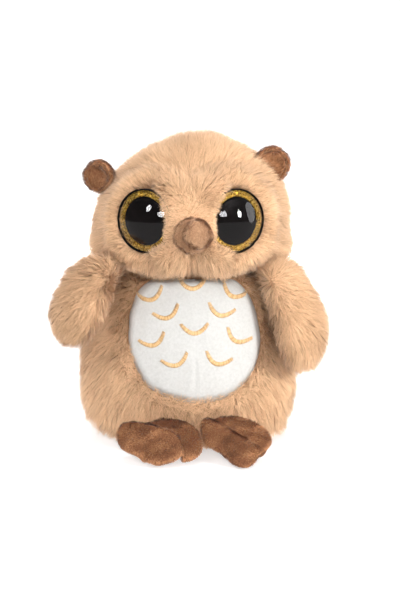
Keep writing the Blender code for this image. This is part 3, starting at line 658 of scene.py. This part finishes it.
def body_skin():
    """The body's cloth under its fur, open at the back for the sound module."""
    mesh = hull("body_cover", "tummy_panel", voxel=1.5, relax=8)
    p, n = points_of(mesh), normals_of(mesh)
    out = np.full(len(p), -PILE_ROOT)
    under = ease(-n[:, 2], 0.5, 0.9)
    out = out * (1 - under) - 0.3 * under
    # The belly bulges low on the owl's right.
    z = p[:, 2] / MM
    out += 3.2 * ease(-n[:, 0], 0.3, 0.9) * ease(z, 6, 16) * (1 - ease(z, 40, 58)) * (1 - under)
    p += n * (out * MM)[:, None]
    put_points(mesh, p)
    bm = opened(mesh)
    for way, half in ((Vector((1, 0, 0)), OPENING[0]), (Vector((0, 0, 1)), OPENING[1])):
        for corner in (way * half, way * -half):
            everything = bm.verts[:] + bm.edges[:] + bm.faces[:]
            spot, facing = MODULE @ (corner * MM), MODULE.to_3x3() @ way
            bmesh.ops.bisect_plane(bm, geom=everything, plane_co=spot, plane_no=facing)
    gone = in_opening(np.array([tuple(f.calc_center_median()) for f in bm.faces]), 0.0)
    bmesh.ops.delete(bm, geom=[f for f, out_of in zip(bm.faces, gone) if out_of], context="FACES")
    mesh = mesh_of("body_fabric", bm)
    mesh = with_modifiers(mesh, ("SOLIDIFY", {"thickness": 1.2 * MM, "offset": -1}))
    made = piece("body_fabric", mesh, "body", TAN_SKIN, ("body_cover", "body_stuffing"))
    return made


def body_comb(p, n):
    """The fur hangs down and outwards, and lies short and flat underneath."""
    lie = np.zeros_like(p)
    lie[:, 0] = p[:, 0] / 0.05 * 0.55
    lie[:, 1] = 0.1
    lie[:, 2] = -1.0
    length = np.full(len(p), BODY_PILE * MM)
    stand = np.full(len(p), 0.58)
    under = ease(-n[:, 2], 0.3, 0.9)
    length *= 1 - 0.55 * under
    stand *= 1 - 0.7 * under
    # It hangs over the feet in front.
    over = ease(-n[:, 1], 0.2, 0.7) * ease(p[:, 2], 0.011, 0.016) * (1 - ease(p[:, 2], 0.024, 0.034)) * (1 - under)
    length *= 1 + 0.35 * over
    lie[:, 1] -= 0.5 * over
    # A short fringe leans over the panel's edge.
    edge = in_panel(p, 4.0)
    inwards = unit(np.stack([PANEL_MIDDLE[0] * MM - p[:, 0], np.zeros(len(p)), PANEL_MIDDLE[1] * MM - p[:, 2]], 1))
    lie[edge] = 0.35 * lie[edge] + 0.5 * inwards[edge]
    stand[edge] = 0.95
    length[edge] *= 0.62
    hem = in_opening(p, 5.0)
    length[hem] *= 0.75
    return lie, length, stand


def body_keep(p, n):
    height = p[:, 2]
    outside = ~in_panel(p, -1.6) & ~in_opening(p, 0.3)
    return outside & (height < BODY_TOP * MM) & ((height > 1.2 * MM) | (n[:, 2] > -0.6))


def wing_skin(side):
    """A wing's cloth under its fur, fuller at the shoulder."""
    mesh = hull(f"wing_{side}_cover", voxel=1.2, relax=5)
    p, n = points_of(mesh), normals_of(mesh)
    shoulder = ease(p[:, 2], 0.072, 0.084) * ease(n[:, 2], 0.2, 0.9)
    p += n * ((-2.6 + 2.2 * shoulder) * MM)[:, None] + np.array([0, 0, 2.0 * MM])
    put_points(mesh, p)
    body = f"wing_{side}"
    made = piece(f"{body}_fabric", mesh, body, TAN_SKIN, (f"{body}_cover", f"{body}_stuffing"))
    return made


def wing_comb(sign):
    """The fur runs out from the shoulder and down."""
    def comb(p, n):
        lie = unit((p - np.array([sign * 0.037, -0.03, 0.079])) * [1, 0.5, 1]) + np.array([0, 0, -0.35])
        return lie, np.full(len(p), WING_PILE * MM), np.full(len(p), 0.6)

    return comb


def wing_crease(p, n):
    """Leaves a thin line bare across the front of the wing's tip, where the cloth folds."""
    start, end = np.array([-57.6, 59.8]) * MM, np.array([-48.8, 66.6]) * MM
    reach = np.linalg.norm(end - start)
    along = (end - start) / reach
    off = p[:, [0, 2]] - start
    share = np.clip(off @ along, 0, reach)
    bow = np.sin(share / reach * math.pi) * -0.0009
    far = np.linalg.norm(off - share[:, None] * along - bow[:, None] * np.array([-along[1], along[0]]), axis=1)
    return (far > 0.75 * MM) | (n[:, 1] > -0.1)


def coat(name, surface, body, comb, keep, seed, coarse, fine, floor=None, tone=None):
    """Long pile: bent strands with finer fibres between them."""
    strands(f"{name}_fur", surface, body, TAN, coarse, comb, keep, seed=seed, floor=floor, tone=tone)
    fluff(f"{name}_underfur", surface, body, TAN, fine, comb, keep, seed=seed, floor=floor, tone=tone)


def body_painted_light(root, normal):
    """Painted light: the body's pile is lighter low down and on the owl's right, and a little lighter all over."""
    return 0.06 + 0.08 * ease(-root[:, 0], 0.01, 0.04) + 0.04 * (1 - ease(root[:, 2], 0.02, 0.04))


def fur():
    """The four tan pieces, each with its own pile."""
    coat("head", Surface(head_skin().data), "head", head_comb, head_keep, 11, 2.5, 6.0)
    body = Surface(body_skin().data)
    coat("body", body, "body", body_comb, body_keep, 12, 1.8, 4.4, floor=0.0, tone=body_painted_light)
    for side, sign in (("left", 1), ("right", -1)):
        keep = wing_crease if side == "right" else None
        surface = Surface(wing_skin(side).data)
        coat(f"wing_{side}", surface, f"wing_{side}", wing_comb(sign), keep, 13 + sign, 2.5, 6.0)


# ---- tummy

MINKY = mottled(
    "white_minky", (0.46, 0.455, 0.438), (0.535, 0.53, 0.512), 0.95, 0.0012, bump=0.00025, bump_size=0.0007,
    Sheen_Weight=0.3, Sheen_Roughness=0.4,
)
GOLD_THREAD = shades("gold_thread", (0.56, 0.34, 0.14), (0.74, 0.5, 0.25), 4, rough=0.45, Sheen_Weight=0.2)

CRESCENTS = [  # (across, up, tilt in degrees) of each embroidered crescent
    (1.0, 79.4, 2), (-18.6, 74.0, 21), (20.3, 75.4, -26), (-11.0, 66.3, 22), (14.2, 67.2, -16), (1.9, 59.5, 2),
    (-17.6, 53.5, 21), (22.2, 54.8, -26), (-7.0, 44.7, 19), (12.8, 45.1, -19),
]
CRESCENT_HALF, CRESCENT_DEEP, STROKE_HALF = 6.3, 4.2, 0.95
THREAD_R = 0.2


def ahead(tree, x, z):
    """The surface seen from straight in front at (x, z) millimetres: (point, normal)."""
    spot, normal, _, _ = tree.ray_cast(Vector((x * MM, -0.2, z * MM)), Vector((0, 1, 0)))
    if spot is None or spot.y > -0.01:
        spot, normal, _, _ = tree.find_nearest(Vector((x * MM, -0.028, z * MM)))
    return np.array(spot), np.array(normal)


def tummy():
    """The white panel, sunk at its edge and sewn up its lower middle, with its crescents."""
    tree = search_tree(hull("body_cover", "tummy_panel", voxel=1.5, relax=8))
    turns, rings = 120, 26
    seam_x, seam_top = 2.2, 50.0
    angles = np.linspace(0, 2 * math.pi, turns, endpoint=False)
    edge = panel_radius(angles) / MM
    points = []
    for ring in range(rings + 1):
        share = ring / rings
        for angle, radius in zip(angles, edge):
            x = PANEL_MIDDLE[0] + math.cos(angle) * radius * share
            z = min(PANEL_MIDDLE[1] + math.sin(angle) * radius * share, 83.2)
            spot, normal = ahead(tree, x, z)
            height = -2.7 + 3.1 * ease((1 - share) * radius, 0.0, 4.5)
            seam = math.exp(-(((x - seam_x) / 0.5) ** 2)) * ease(seam_top - z, 0, 14)
            beside = math.exp(-(((abs(x - seam_x) - 2.0) / 1.2) ** 2))
            height -= 0.55 * seam - 0.35 * beside * ease(seam_top - z, 0, 14)
            points.append(spot + normal * height * MM)
    points = np.array(points)
    points[:, 1] += 0.3 * MM * waves(points, 0.021, 5) + 0.08 * MM * waves(points, 0.006, 6)
    bm = opened(mesh_from("tummy_panel_cloth", points, bands(0, rings, turns)))
    bmesh.ops.remove_doubles(bm, verts=bm.verts, dist=1e-6)
    bmesh.ops.recalc_face_normals(bm, faces=bm.faces)
    if sum(f.normal.y for f in bm.faces) > 0:
        bmesh.ops.reverse_faces(bm, faces=bm.faces)
    mesh = mesh_of("tummy_panel_cloth", bm)
    on_panel = search_tree(mesh)
    cloth = with_modifiers(mesh, ("SOLIDIFY", {"thickness": 1.5 * MM, "offset": -1}))
    piece("tummy_panel_cloth", cloth, "body", MINKY, ("tummy_panel",))
    embroidery(on_panel)


def tube(points, faces, shades_used, path, r, sides, shade):
    """Adds a closed tube along a path to a growing mesh."""
    path = np.array(path)
    along = unit(np.gradient(path, axis=0))
    side = unit(np.cross(along, [0.3, 0.9, 0.31]))
    up = np.cross(along, side)
    start = len(points)
    for k, spot in enumerate(path):
        for i in range(sides):
            t = 2 * math.pi * i / sides
            points.append(spot + (side[k] * math.cos(t) + up[k] * math.sin(t)) * r)
    faces += bands(start, len(path) - 1, sides)
    faces.append(tuple(start + i for i in reversed(range(sides))))
    faces.append(tuple(start + (len(path) - 1) * sides + i for i in range(sides)))
    shades_used += [shade] * ((len(path) - 1) * sides + 2)


def embroidery(tree):
    """Ten crescents in satin stitch: each a row of threads laid across its line and pulled down at both ends."""
    rng = np.random.default_rng(21)
    points, faces, used = [], [], []
    for x, z, tilt in CRESCENTS:
        c, s = math.cos(math.radians(tilt)), math.sin(math.radians(tilt))
        for t in np.linspace(-1, 1, 46):
            a, b = CRESCENT_HALF * t, CRESCENT_DEEP * (t * t - 0.5)
            across = unit(np.array([-2 * CRESCENT_DEEP * t / CRESCENT_HALF, 1.0]))
            half = STROKE_HALF * (1 - 0.3 * t**4) * rng.uniform(0.93, 1.07)
            lean = 0.12 + 0.05 * rng.normal()
            path = []
            for k in (-1, -0.6, 0, 0.6, 1):
                u = a + across[0] * half * k + lean * k * across[1]
                v = b + across[1] * half * k - lean * k * across[0]
                spot, normal = ahead(tree, x + u * c - v * s, z + u * s + v * c)
                path.append(spot + normal * (0.5 * (1 - k * k) - 0.1) * MM)
            tube(points, faces, used, path, THREAD_R * MM, 5, int(rng.integers(0, len(GOLD_THREAD))))
    mesh = mesh_from("tummy_embroidery", points, faces)
    made = piece("tummy_embroidery", mesh, "body", GOLD_THREAD)
    made.data.polygons.foreach_set("material_index", np.array(used, np.int32))


# ---- eyes

def glitter():
    """Gold flakes, each with its own tint and its own tilt."""
    made, tree, shader = material("gold_glitter", (0.8, 0.5, 0.1), 0.35, 0.7)
    where = node(tree, "TexCoord")
    flakes = node(tree, "TexVoronoi", links={"Vector": (where, "Object")}, Scale=2200.0)
    tint = node(tree, "ValToRGB", links={"Fac": (flakes, "Color")})
    first, last = tint.color_ramp.elements
    first.position, first.color = 0.22, (0.09, 0.036, 0.003, 1)
    last.position, last.color = 0.82, (1.0, 0.68, 0.16, 1)
    middle = tint.color_ramp.elements.new(0.5)
    middle.color = (0.5, 0.26, 0.018, 1)
    join(tint, "Color", shader, "Base Color")
    tilt = 0.55
    shape = node(tree, "NewGeometry")
    way = node(tree, "VectorMath", {"operation": "MULTIPLY_ADD"}, {0: (flakes, "Color")})
    way.inputs[1].default_value = (2 * tilt, 2 * tilt, 2 * tilt)
    way.inputs[2].default_value = (-tilt, -tilt, -tilt)
    tilted = node(tree, "VectorMath", {"operation": "ADD"}, {0: (way, "Vector"), 1: (shape, "Normal")})
    facing = node(tree, "VectorMath", {"operation": "NORMALIZE"}, {0: (tilted, "Vector")})
    join(facing, "Vector", shader, "Normal")
    return made


def clear():
    """A clear shell that only adds reflections: no bending of light."""
    made = bpy.data.materials.new("clear_dome")
    made.use_nodes = True
    tree = made.node_tree
    tree.nodes.remove(tree.nodes["Principled BSDF"])
    through = node(tree, "BsdfTransparent", Color=(0.97, 0.97, 0.97, 1))
    mirror = node(tree, "BsdfGlossy", Color=(0.9, 0.9, 0.92, 1), Roughness=0.02)
    edge = node(tree, "Fresnel", IOR=1.5)
    where = node(tree, "NewGeometry")
    front = node(tree, "Math", {"operation": "SUBTRACT"}, {1: (where, "Backfacing")})
    front.inputs[0].default_value = 1.0
    amount = node(tree, "Math", {"operation": "MULTIPLY"}, {0: (edge, "Fac"), 1: (front, "Value")})
    mix = node(tree, "MixShader", links={0: (amount, "Value"), 1: (through, "BSDF"), 2: (mirror, "BSDF")})
    join(mix, "Shader", tree.nodes["Material Output"], "Surface")
    return made


def lathe(name, profile, steps, place):
    """A profile of (radius, height) in millimetres, drawn up its outer side and turned about Z."""
    points, rows, faces = [], [], []
    for r, z in profile:
        if r < 1e-6:
            rows.append([len(points)] * steps)
            points.append((0, 0, z))
            continue
        rows.append([len(points) + i for i in range(steps)])
        points += [(r * math.cos(t), r * math.sin(t), z) for t in (2 * math.pi * i / steps for i in range(steps))]
    for low, high in zip(rows, rows[1:]):
        for i in range(steps):
            j = (i + 1) % steps
            face = list(dict.fromkeys((low[i], low[j], high[j], high[i])))
            if len(face) > 2:
                faces.append(face)
    moved = [place @ (Vector(p) * MM) for p in points]
    return mesh_from(name, moved, faces)


def rounded(profile, steps=4):
    """A smooth line through a profile's points."""
    p = np.array(profile, float)
    p = np.vstack([2 * p[0] - p[1], p, 2 * p[-1] - p[-2]])
    out = []
    for i in range(1, len(p) - 2):
        for t in np.linspace(0, 1, steps, endpoint=False):
            a, b, c, d = p[i - 1], p[i], p[i + 1], p[i + 2]
            square, cube = 2 * a - 5 * b + 4 * c - d, 3 * b - a - 3 * c + d
            out.append(0.5 * (2 * b + (c - a) * t + square * t**2 + cube * t**3))
    out.append(p[-2])
    return [(max(0.0, r), z) for r, z in out]


EYE_PROFILES = {  # (radius, height over the eye's base) of each turned part
    "cup": [
        (0, -12.5), (2.4, -12.5), (2.4, 0), (14.4, 0), (14.85, 0.15), (15, 0.6), (15, 3.0), (14.9, 3.3), (14.7, 3.4),
        (14.5, 3.2), (14.5, 1.2), (0, 1.2),
    ],
    "glitter_ring": [
        (11.4, 1.5), (14.2, 1.5), (14.3, 1.7), (14.2, 2.1), (12.0, 2.6), (11.6, 2.6), (11.3, 2.2), (11.4, 1.5),
    ],
    "pupil": [(0, 1.5), (11.1, 1.5), (11.2, 2.0), (11.1, 2.4), (10.3, 2.8), (7.0, 3.4), (3.0, 3.6), (0, 3.65)],
    "dome": [(0, 4.0), (7.0, 3.8), (11.8, 3.0), (14.1, 3.0)],  # its under side, which the cap closes
}
DOME_R, DOME_SUNK = 19.38, 9.98  # the dome is a cap of a ball whose middle is this far under the eye's base


def eyes():
    """Each eye: a black cup with a stem, a glitter ring and a pupil, under a clear dome."""
    cap = [(DOME_R * math.sin(t), DOME_R * math.cos(t) - DOME_SUNK) for t in np.linspace(0.83, 0, 18)]
    cap[-1] = (0, DOME_R - DOME_SUNK)
    black = mottled(
        "eye_black", (0.003, 0.0025, 0.0025), (0.006, 0.004, 0.004), 0.3, 0.01, rough_spread=0.04,
        Specular_IOR_Level=0.03,
    )
    rim = mottled(
        "eye_cup_black", (0.003, 0.003, 0.003), (0.006, 0.006, 0.006), 0.5, 0.01, rough_spread=0.05,
        Specular_IOR_Level=0.1,
    )
    finishes = {"cup": rim, "glitter_ring": glitter(), "pupil": black, "dome": clear()}
    for side, (base, axis) in EYES.items():
        place = Matrix.Translation(Vector(base)) @ Vector(axis).to_track_quat("Z", "Y").to_matrix().to_4x4()
        for name, finish in finishes.items():
            profile = EYE_PROFILES[name] + (cap if name == "dome" else [])
            mesh = lathe(f"eye_{side}_{name}_fine", profile, 72, place)
            piece(mesh.name, mesh, "head", finish, (f"eye_{side}_{name}",))
            mesh.set_sharp_from_angle(angle=math.radians(35))


# ---- velour pieces

BROWN = shades("brown_pile", (0.09, 0.025, 0.008), (0.58, 0.27, 0.12), 8, Sheen_Weight=0.2, Sheen_Roughness=0.4)
EAR_BROWN = shades("ear_pile", (0.2, 0.07, 0.025), (0.62, 0.31, 0.15), 6, Sheen_Weight=0.25, Sheen_Roughness=0.4)
FAWN = shades("fawn_pile", (0.36, 0.18, 0.085), (0.72, 0.44, 0.26), 6, Sheen_Weight=0.2, Sheen_Roughness=0.4)
BROWN_SKIN = mottled(
    "brown_velour", (0.16, 0.05, 0.02), (0.3, 0.12, 0.055), 0.9, 0.004, bump=0.0002, bump_size=0.0005,
)
FAWN_SKIN = mottled("fawn_velour", (0.33, 0.15, 0.075), (0.5, 0.27, 0.15), 0.9, 0.004, bump=0.0002, bump_size=0.0005)


def nap(length, way=(0, -0.5, -0.6), stand=0.7):
    """Short pile brushed one way."""
    def comb(p, n):
        lie = np.tile(np.array(way, float), (len(p), 1)) + 0.5 * waves3(p, 0.009, 77)
        return lie, np.full(len(p), length * MM), np.full(len(p), stand)

    return comb


def velour(name, mesh, body, skin, palette, stands_for, length, per_mm2, seed, tone=None, floor=None):
    """A padded piece with short pile."""
    piece(name, mesh, body, skin, stands_for)
    strands(
        f"{name}_pile", Surface(mesh), body, palette, per_mm2, nap(length), width=0.26, clump=0.8, pull=0.15,
        soft=0.9,
        seed=seed, tone=tone, floor=floor,
    )


def beak():
    """A round end stands on a wider base and leans to the owl's left; a groove parts them."""
    mesh = hull("beak", voxel=0.7, relax=5)
    p, n = points_of(mesh), normals_of(mesh)
    low, high = p[:, 1].min(), p[:, 1].max()

    def share(points):
        return (high - points[:, 1]) / (high - low)

    waist = 0.56
    at = share(p)
    groove = np.exp(-(((at - waist) / 0.08) ** 2))
    wide = 1.0 - 0.2 * ease(at, 0.3, 0.72) - 0.07 * groove
    middle = (p.min(0) + p.max(0)) / 2
    lean = ease(at, 0.3, 0.7)[:, None] * np.array([2.6, 0, 0.9]) * MM - np.array([0.3, 0, 1.7]) * MM
    p = middle + (p - middle) * np.stack([wide, np.ones(len(p)), wide], 1) + lean
    p += n * ((-0.4 + 0.3 * waves(p, 0.008, 3)) * MM)[:, None]
    put_points(mesh, p)

    def patches_and_painted_shade(root, normal):
        # Painted shade: darker along the groove and on the under side, over patches at random.
        dark = np.exp(-(((share(root) - waist) / 0.1) ** 2))
        return 0.14 * waves(root, 0.012, 9) - 0.2 * ease(-normal[:, 2], 0.3, 1.0) - 0.45 * dark

    velour("beak_velour", mesh, "head", FAWN_SKIN, FAWN, ("beak",), 1.7, 9.0, 31, tone=patches_and_painted_shade)


EAR_PROFILES = {  # (radius, height) in ear sizes: a shallow cup with a lining in it
    "cup": [
        (0, -0.62), (0.45, -0.56), (0.82, -0.3), (1.0, 0.1), (0.98, 0.26), (0.88, 0.26), (0.74, 0.06), (0.5, -0.2),
        (0, -0.3),
    ],
    "lining": [
        (0, -0.26), (0.34, -0.23), (0.56, -0.08), (0.76, 0.2), (0.7, 0.26), (0.6, 0.14), (0.3, -0.06), (0, -0.12),
    ],
}


def ears():
    """Two velour cups, which face forwards and turn out a little."""
    for side, x, z, out, size in (("left", 38.4, 132.8, 12, 8.3), ("right", -43.2, 127.0, 30, 7.8)):
        turn = math.copysign(math.radians(out), x)
        face = Vector((math.sin(turn), -math.cos(turn), 0)).to_track_quat("Z", "Y").to_matrix().to_4x4()
        place = Matrix.Translation(Vector((x, -5.0, z)) * MM) @ face
        for name, palette, seed in (("cup", EAR_BROWN, 33), ("lining", BROWN, 35)):
            profile = rounded([(r * size, h * size) for r, h in EAR_PROFILES[name]])
            mesh = lathe(f"ear_{side}_{name}_velour", profile, 48, place)
            p = points_of(mesh)
            put_points(mesh, p + 0.45 * MM * waves3(p, 0.016, seed))
            velour(mesh.name, mesh, "head", BROWN_SKIN, palette, (f"ear_{side}_{name}",), 1.9, 8.0, seed)


FOOT_EDGES = {  # plan view, (across, forward) in millimetres
    "right": [
        (-34.0, -55.0), (-32.3, -51.2), (-28.1, -48.4), (-20.4, -45.4), (-10.0, -43.4), (-1.0, -44.6), (3.0, -48.8),
        (4.8, -54.6), (5.2, -58.4), (3.6, -63.1), (-0.2, -64.7), (-3.2, -65.2), (-8.5, -67.7), (-13.8, -69.3),
        (-18.3, -68.2), (-22.2, -64.9), (-27.6, -62.6), (-31.9, -60.4),
    ],
    "left": [
        (5.0, -47.2), (7.6, -44.2), (11.6, -42.8), (17.0, -42.6), (24.0, -43.4), (31.0, -46.4), (34.6, -51.2),
        (37.2, -57.6), (34.6, -61.4), (31.2, -64.9), (28.8, -68.4), (26.3, -70.5), (23.6, -71.0), (20.3, -68.6),
        (17.3, -64.9), (14.3, -61.7), (11.3, -59.3), (8.4, -56.9), (6.4, -54.6), (5.2, -51.2),
    ],
}
# The front edge of the two folded toes, drawn the same way.
FLAP = [(-40, -47.0), (-27.3, -49.6), (-17.2, -53.2), (-8.7, -55.5), (-4.6, -60.3), (-2.8, -70.0)]


def foot_height(side, x, y, share):
    """The middle of the pad's height over the ground: it slopes down to the toes, with its folds."""
    z = 17.4 + (y + 42) * 0.545
    if side == "right":
        # Two toes are folded up over the third.
        front = np.interp(x, [a for a, _ in FLAP], [b for _, b in FLAP]) - y
        z = z + 3.4 * ease(front, -0.9, 1.3) * (1 - 0.75 * ease(front, 1.5, 11.0)) - 0.8 * (
            1 - ease(front, -1.5, 0.5)
        )
        z = z - 1.2 * np.exp(-(((x + 21.5) / 1.6) ** 2)) * ease(front, 5, 9)
    else:
        # A crease runs inside the edge that faces the other foot.
        edge = (x - 5.0) * 0.62 + (y + 47.0) * 0.78
        z = z + 1.3 * np.exp(-(((edge - 1.0) / 3.0) ** 2)) - 1.0 * np.exp(-(((edge - 5.6) / 1.4) ** 2))
        z = z + 1.4 * ease(x, 28, 38)
    return z + 0.25 * np.sin(x * 0.4 + y * 0.3) * share


def mottle_and_painted_sheen(root, normal):
    """Patches at random, with painted sheen: lighter where the velour turns over an edge, darker on its flat."""
    return 0.16 * waves(root, 0.009, 19) - 0.14 + 0.42 * (1 - ease(normal[:, 2], 0.15, 0.75))


def feet():
    """Flat velour pads: a top and a bottom sheet of rings in each, joined at the rim."""
    for side in ("left", "right"):
        edge = np.array(FOOT_EDGES[side])
        middle = edge.mean(0)
        off = edge - middle
        known, radii = np.arctan2(off[:, 1], off[:, 0]), np.hypot(off[:, 0], off[:, 1])
        turns, rings = 96, 15
        angles = np.linspace(0, 2 * math.pi, turns, endpoint=False)
        reach = np.interp(angles, known, radii, period=2 * math.pi)
        for _ in range(3):
            reach = 0.25 * np.roll(reach, 1) + 0.5 * reach + 0.25 * np.roll(reach, -1)
        points, faces = [], []
        for way in (1, -1):
            for ring in range(rings):
                share = math.sin(math.pi / 2 * (ring + 0.02) / (rings - 0.5))
                x, y = middle[0] + np.cos(angles) * reach * share, middle[1] + np.sin(angles) * reach * share
                thick = 0.4 + 2.3 * math.sqrt(max(0.0, 1 - share**3.2))
                z = foot_height(side, x, y, share) + way * thick
                z = np.where(z < 0.6, 0.6 * np.exp((z - 0.6) / 1.5), z)
                points.append(np.stack([x, y, z], 1))
        points = np.concatenate(points) * MM
        lower, rim = rings * turns, (rings - 1) * turns
        faces += [(a, d, c, b) for a, b, c, d in bands(0, rings - 1, turns)]
        faces.append(tuple(range(turns)))
        faces += bands(lower, rings - 1, turns)
        faces.append(tuple(reversed(range(lower, lower + turns))))
        for i in range(turns):
            j = (i + 1) % turns
            faces.append((rim + i, lower + rim + i, lower + rim + j, rim + j))
        bm = opened(mesh_from("foot", points, faces))
        bmesh.ops.recalc_face_normals(bm, faces=bm.faces)
        mesh = mesh_of(f"foot_{side}_velour", bm)
        stands_for = [f"foot_{side}_{part}" for part in ("sole", "upper", "padding")]
        velour(mesh.name, mesh, f"foot_{side}", BROWN_SKIN, BROWN, stands_for, 1.4, 9.0, 40, floor=0.0, tone=mottle_and_painted_sheen)


# ---- what stays as CAD

def fittings():
    """Materials for the CAD parts that are shown as they are."""
    # Dark and light tint, roughness, size of the patches, metal, depth and size of the bump, spread of roughness.
    steel, grey, white, black, green, jacket, paper, red = (mottled(*row) for row in (
        ("bright_steel", (0.4, 0.4, 0.41), (0.62, 0.62, 0.63), 0.3, 0.003, 1.0, 0.00003, 0.0004, 0.08),
        ("grey_shell", (0.05, 0.05, 0.055), (0.07, 0.07, 0.075), 0.5, 0.006, 0, 0.00006, 0.0004, 0.06),
        ("white_nylon", (0.68, 0.68, 0.66), (0.78, 0.78, 0.76), 0.42, 0.005, 0, 0.00003, 0.0006, 0.05),
        ("black_part", (0.008, 0.008, 0.009), (0.016, 0.016, 0.017), 0.4, 0.004, 0, 0.00003, 0.0005, 0.06),
        ("board_green", (0.012, 0.12, 0.045), (0.022, 0.18, 0.07), 0.4, 0.003, 0, 0.00004, 0.0008, 0.08),
        ("cell_sleeve", (0.02, 0.075, 0.24), (0.04, 0.12, 0.34), 0.3, 0.01, 0.3, 0.00003, 0.0005, 0.06),
        ("cone_paper", (0.02, 0.02, 0.02), (0.05, 0.05, 0.048), 0.9, 0.001, 0, 0.00005, 0.0003, 0.04),
        ("red_insulation", (0.4, 0.014, 0.01), (0.55, 0.025, 0.018), 0.45, 0.004, 0, 0.00002, 0.0004, 0.05),
    ))
    # The first of these that a node's name starts with counts; the rest of the hard parts are steel.
    made = {
        "squeeze_switch_contact": grey, "squeeze_switch": white, "power_switch_knob": white,
        "eye_left_washer": white, "eye_right_washer": white, "module": grey, "battery_door": grey,
        "battery_plate": steel, "battery_spring": steel, "battery": jacket, "circuit": green, "sound_chip": black,
        "speaker_cone": paper, "speaker_wire_red": red, "switch_wire_red": red, "speaker_wire": black,
        "switch_wire": black,
    }
    for name, cad in NODES.items():
        if cad.hide_render:
            continue
        found = next((made[start] for start in made if name.startswith(start)), steel)
        cad.data.materials.clear()
        cad.data.materials.append(found)


def pellets():
    """The cloth bag of pellets in the bottom of the body."""
    mesh = hull("pellet_bag", voxel=1.5, relax=4)
    p, n = points_of(mesh), normals_of(mesh)
    put_points(mesh, p + n * ((-0.6 + 0.35 * waves(p, 0.005, 15)) * MM)[:, None])
    weave = mottled("pellet_cloth", (0.5, 0.48, 0.42), (0.68, 0.66, 0.6), 0.95, 0.003, bump=0.0002, bump_size=0.0006)
    piece("pellet_bag_cloth", mesh, "body", weave, ("pellet_bag",))


studio()
fur()
tummy()
eyes()
beak()
ears()
feet()
pellets()
fittings()
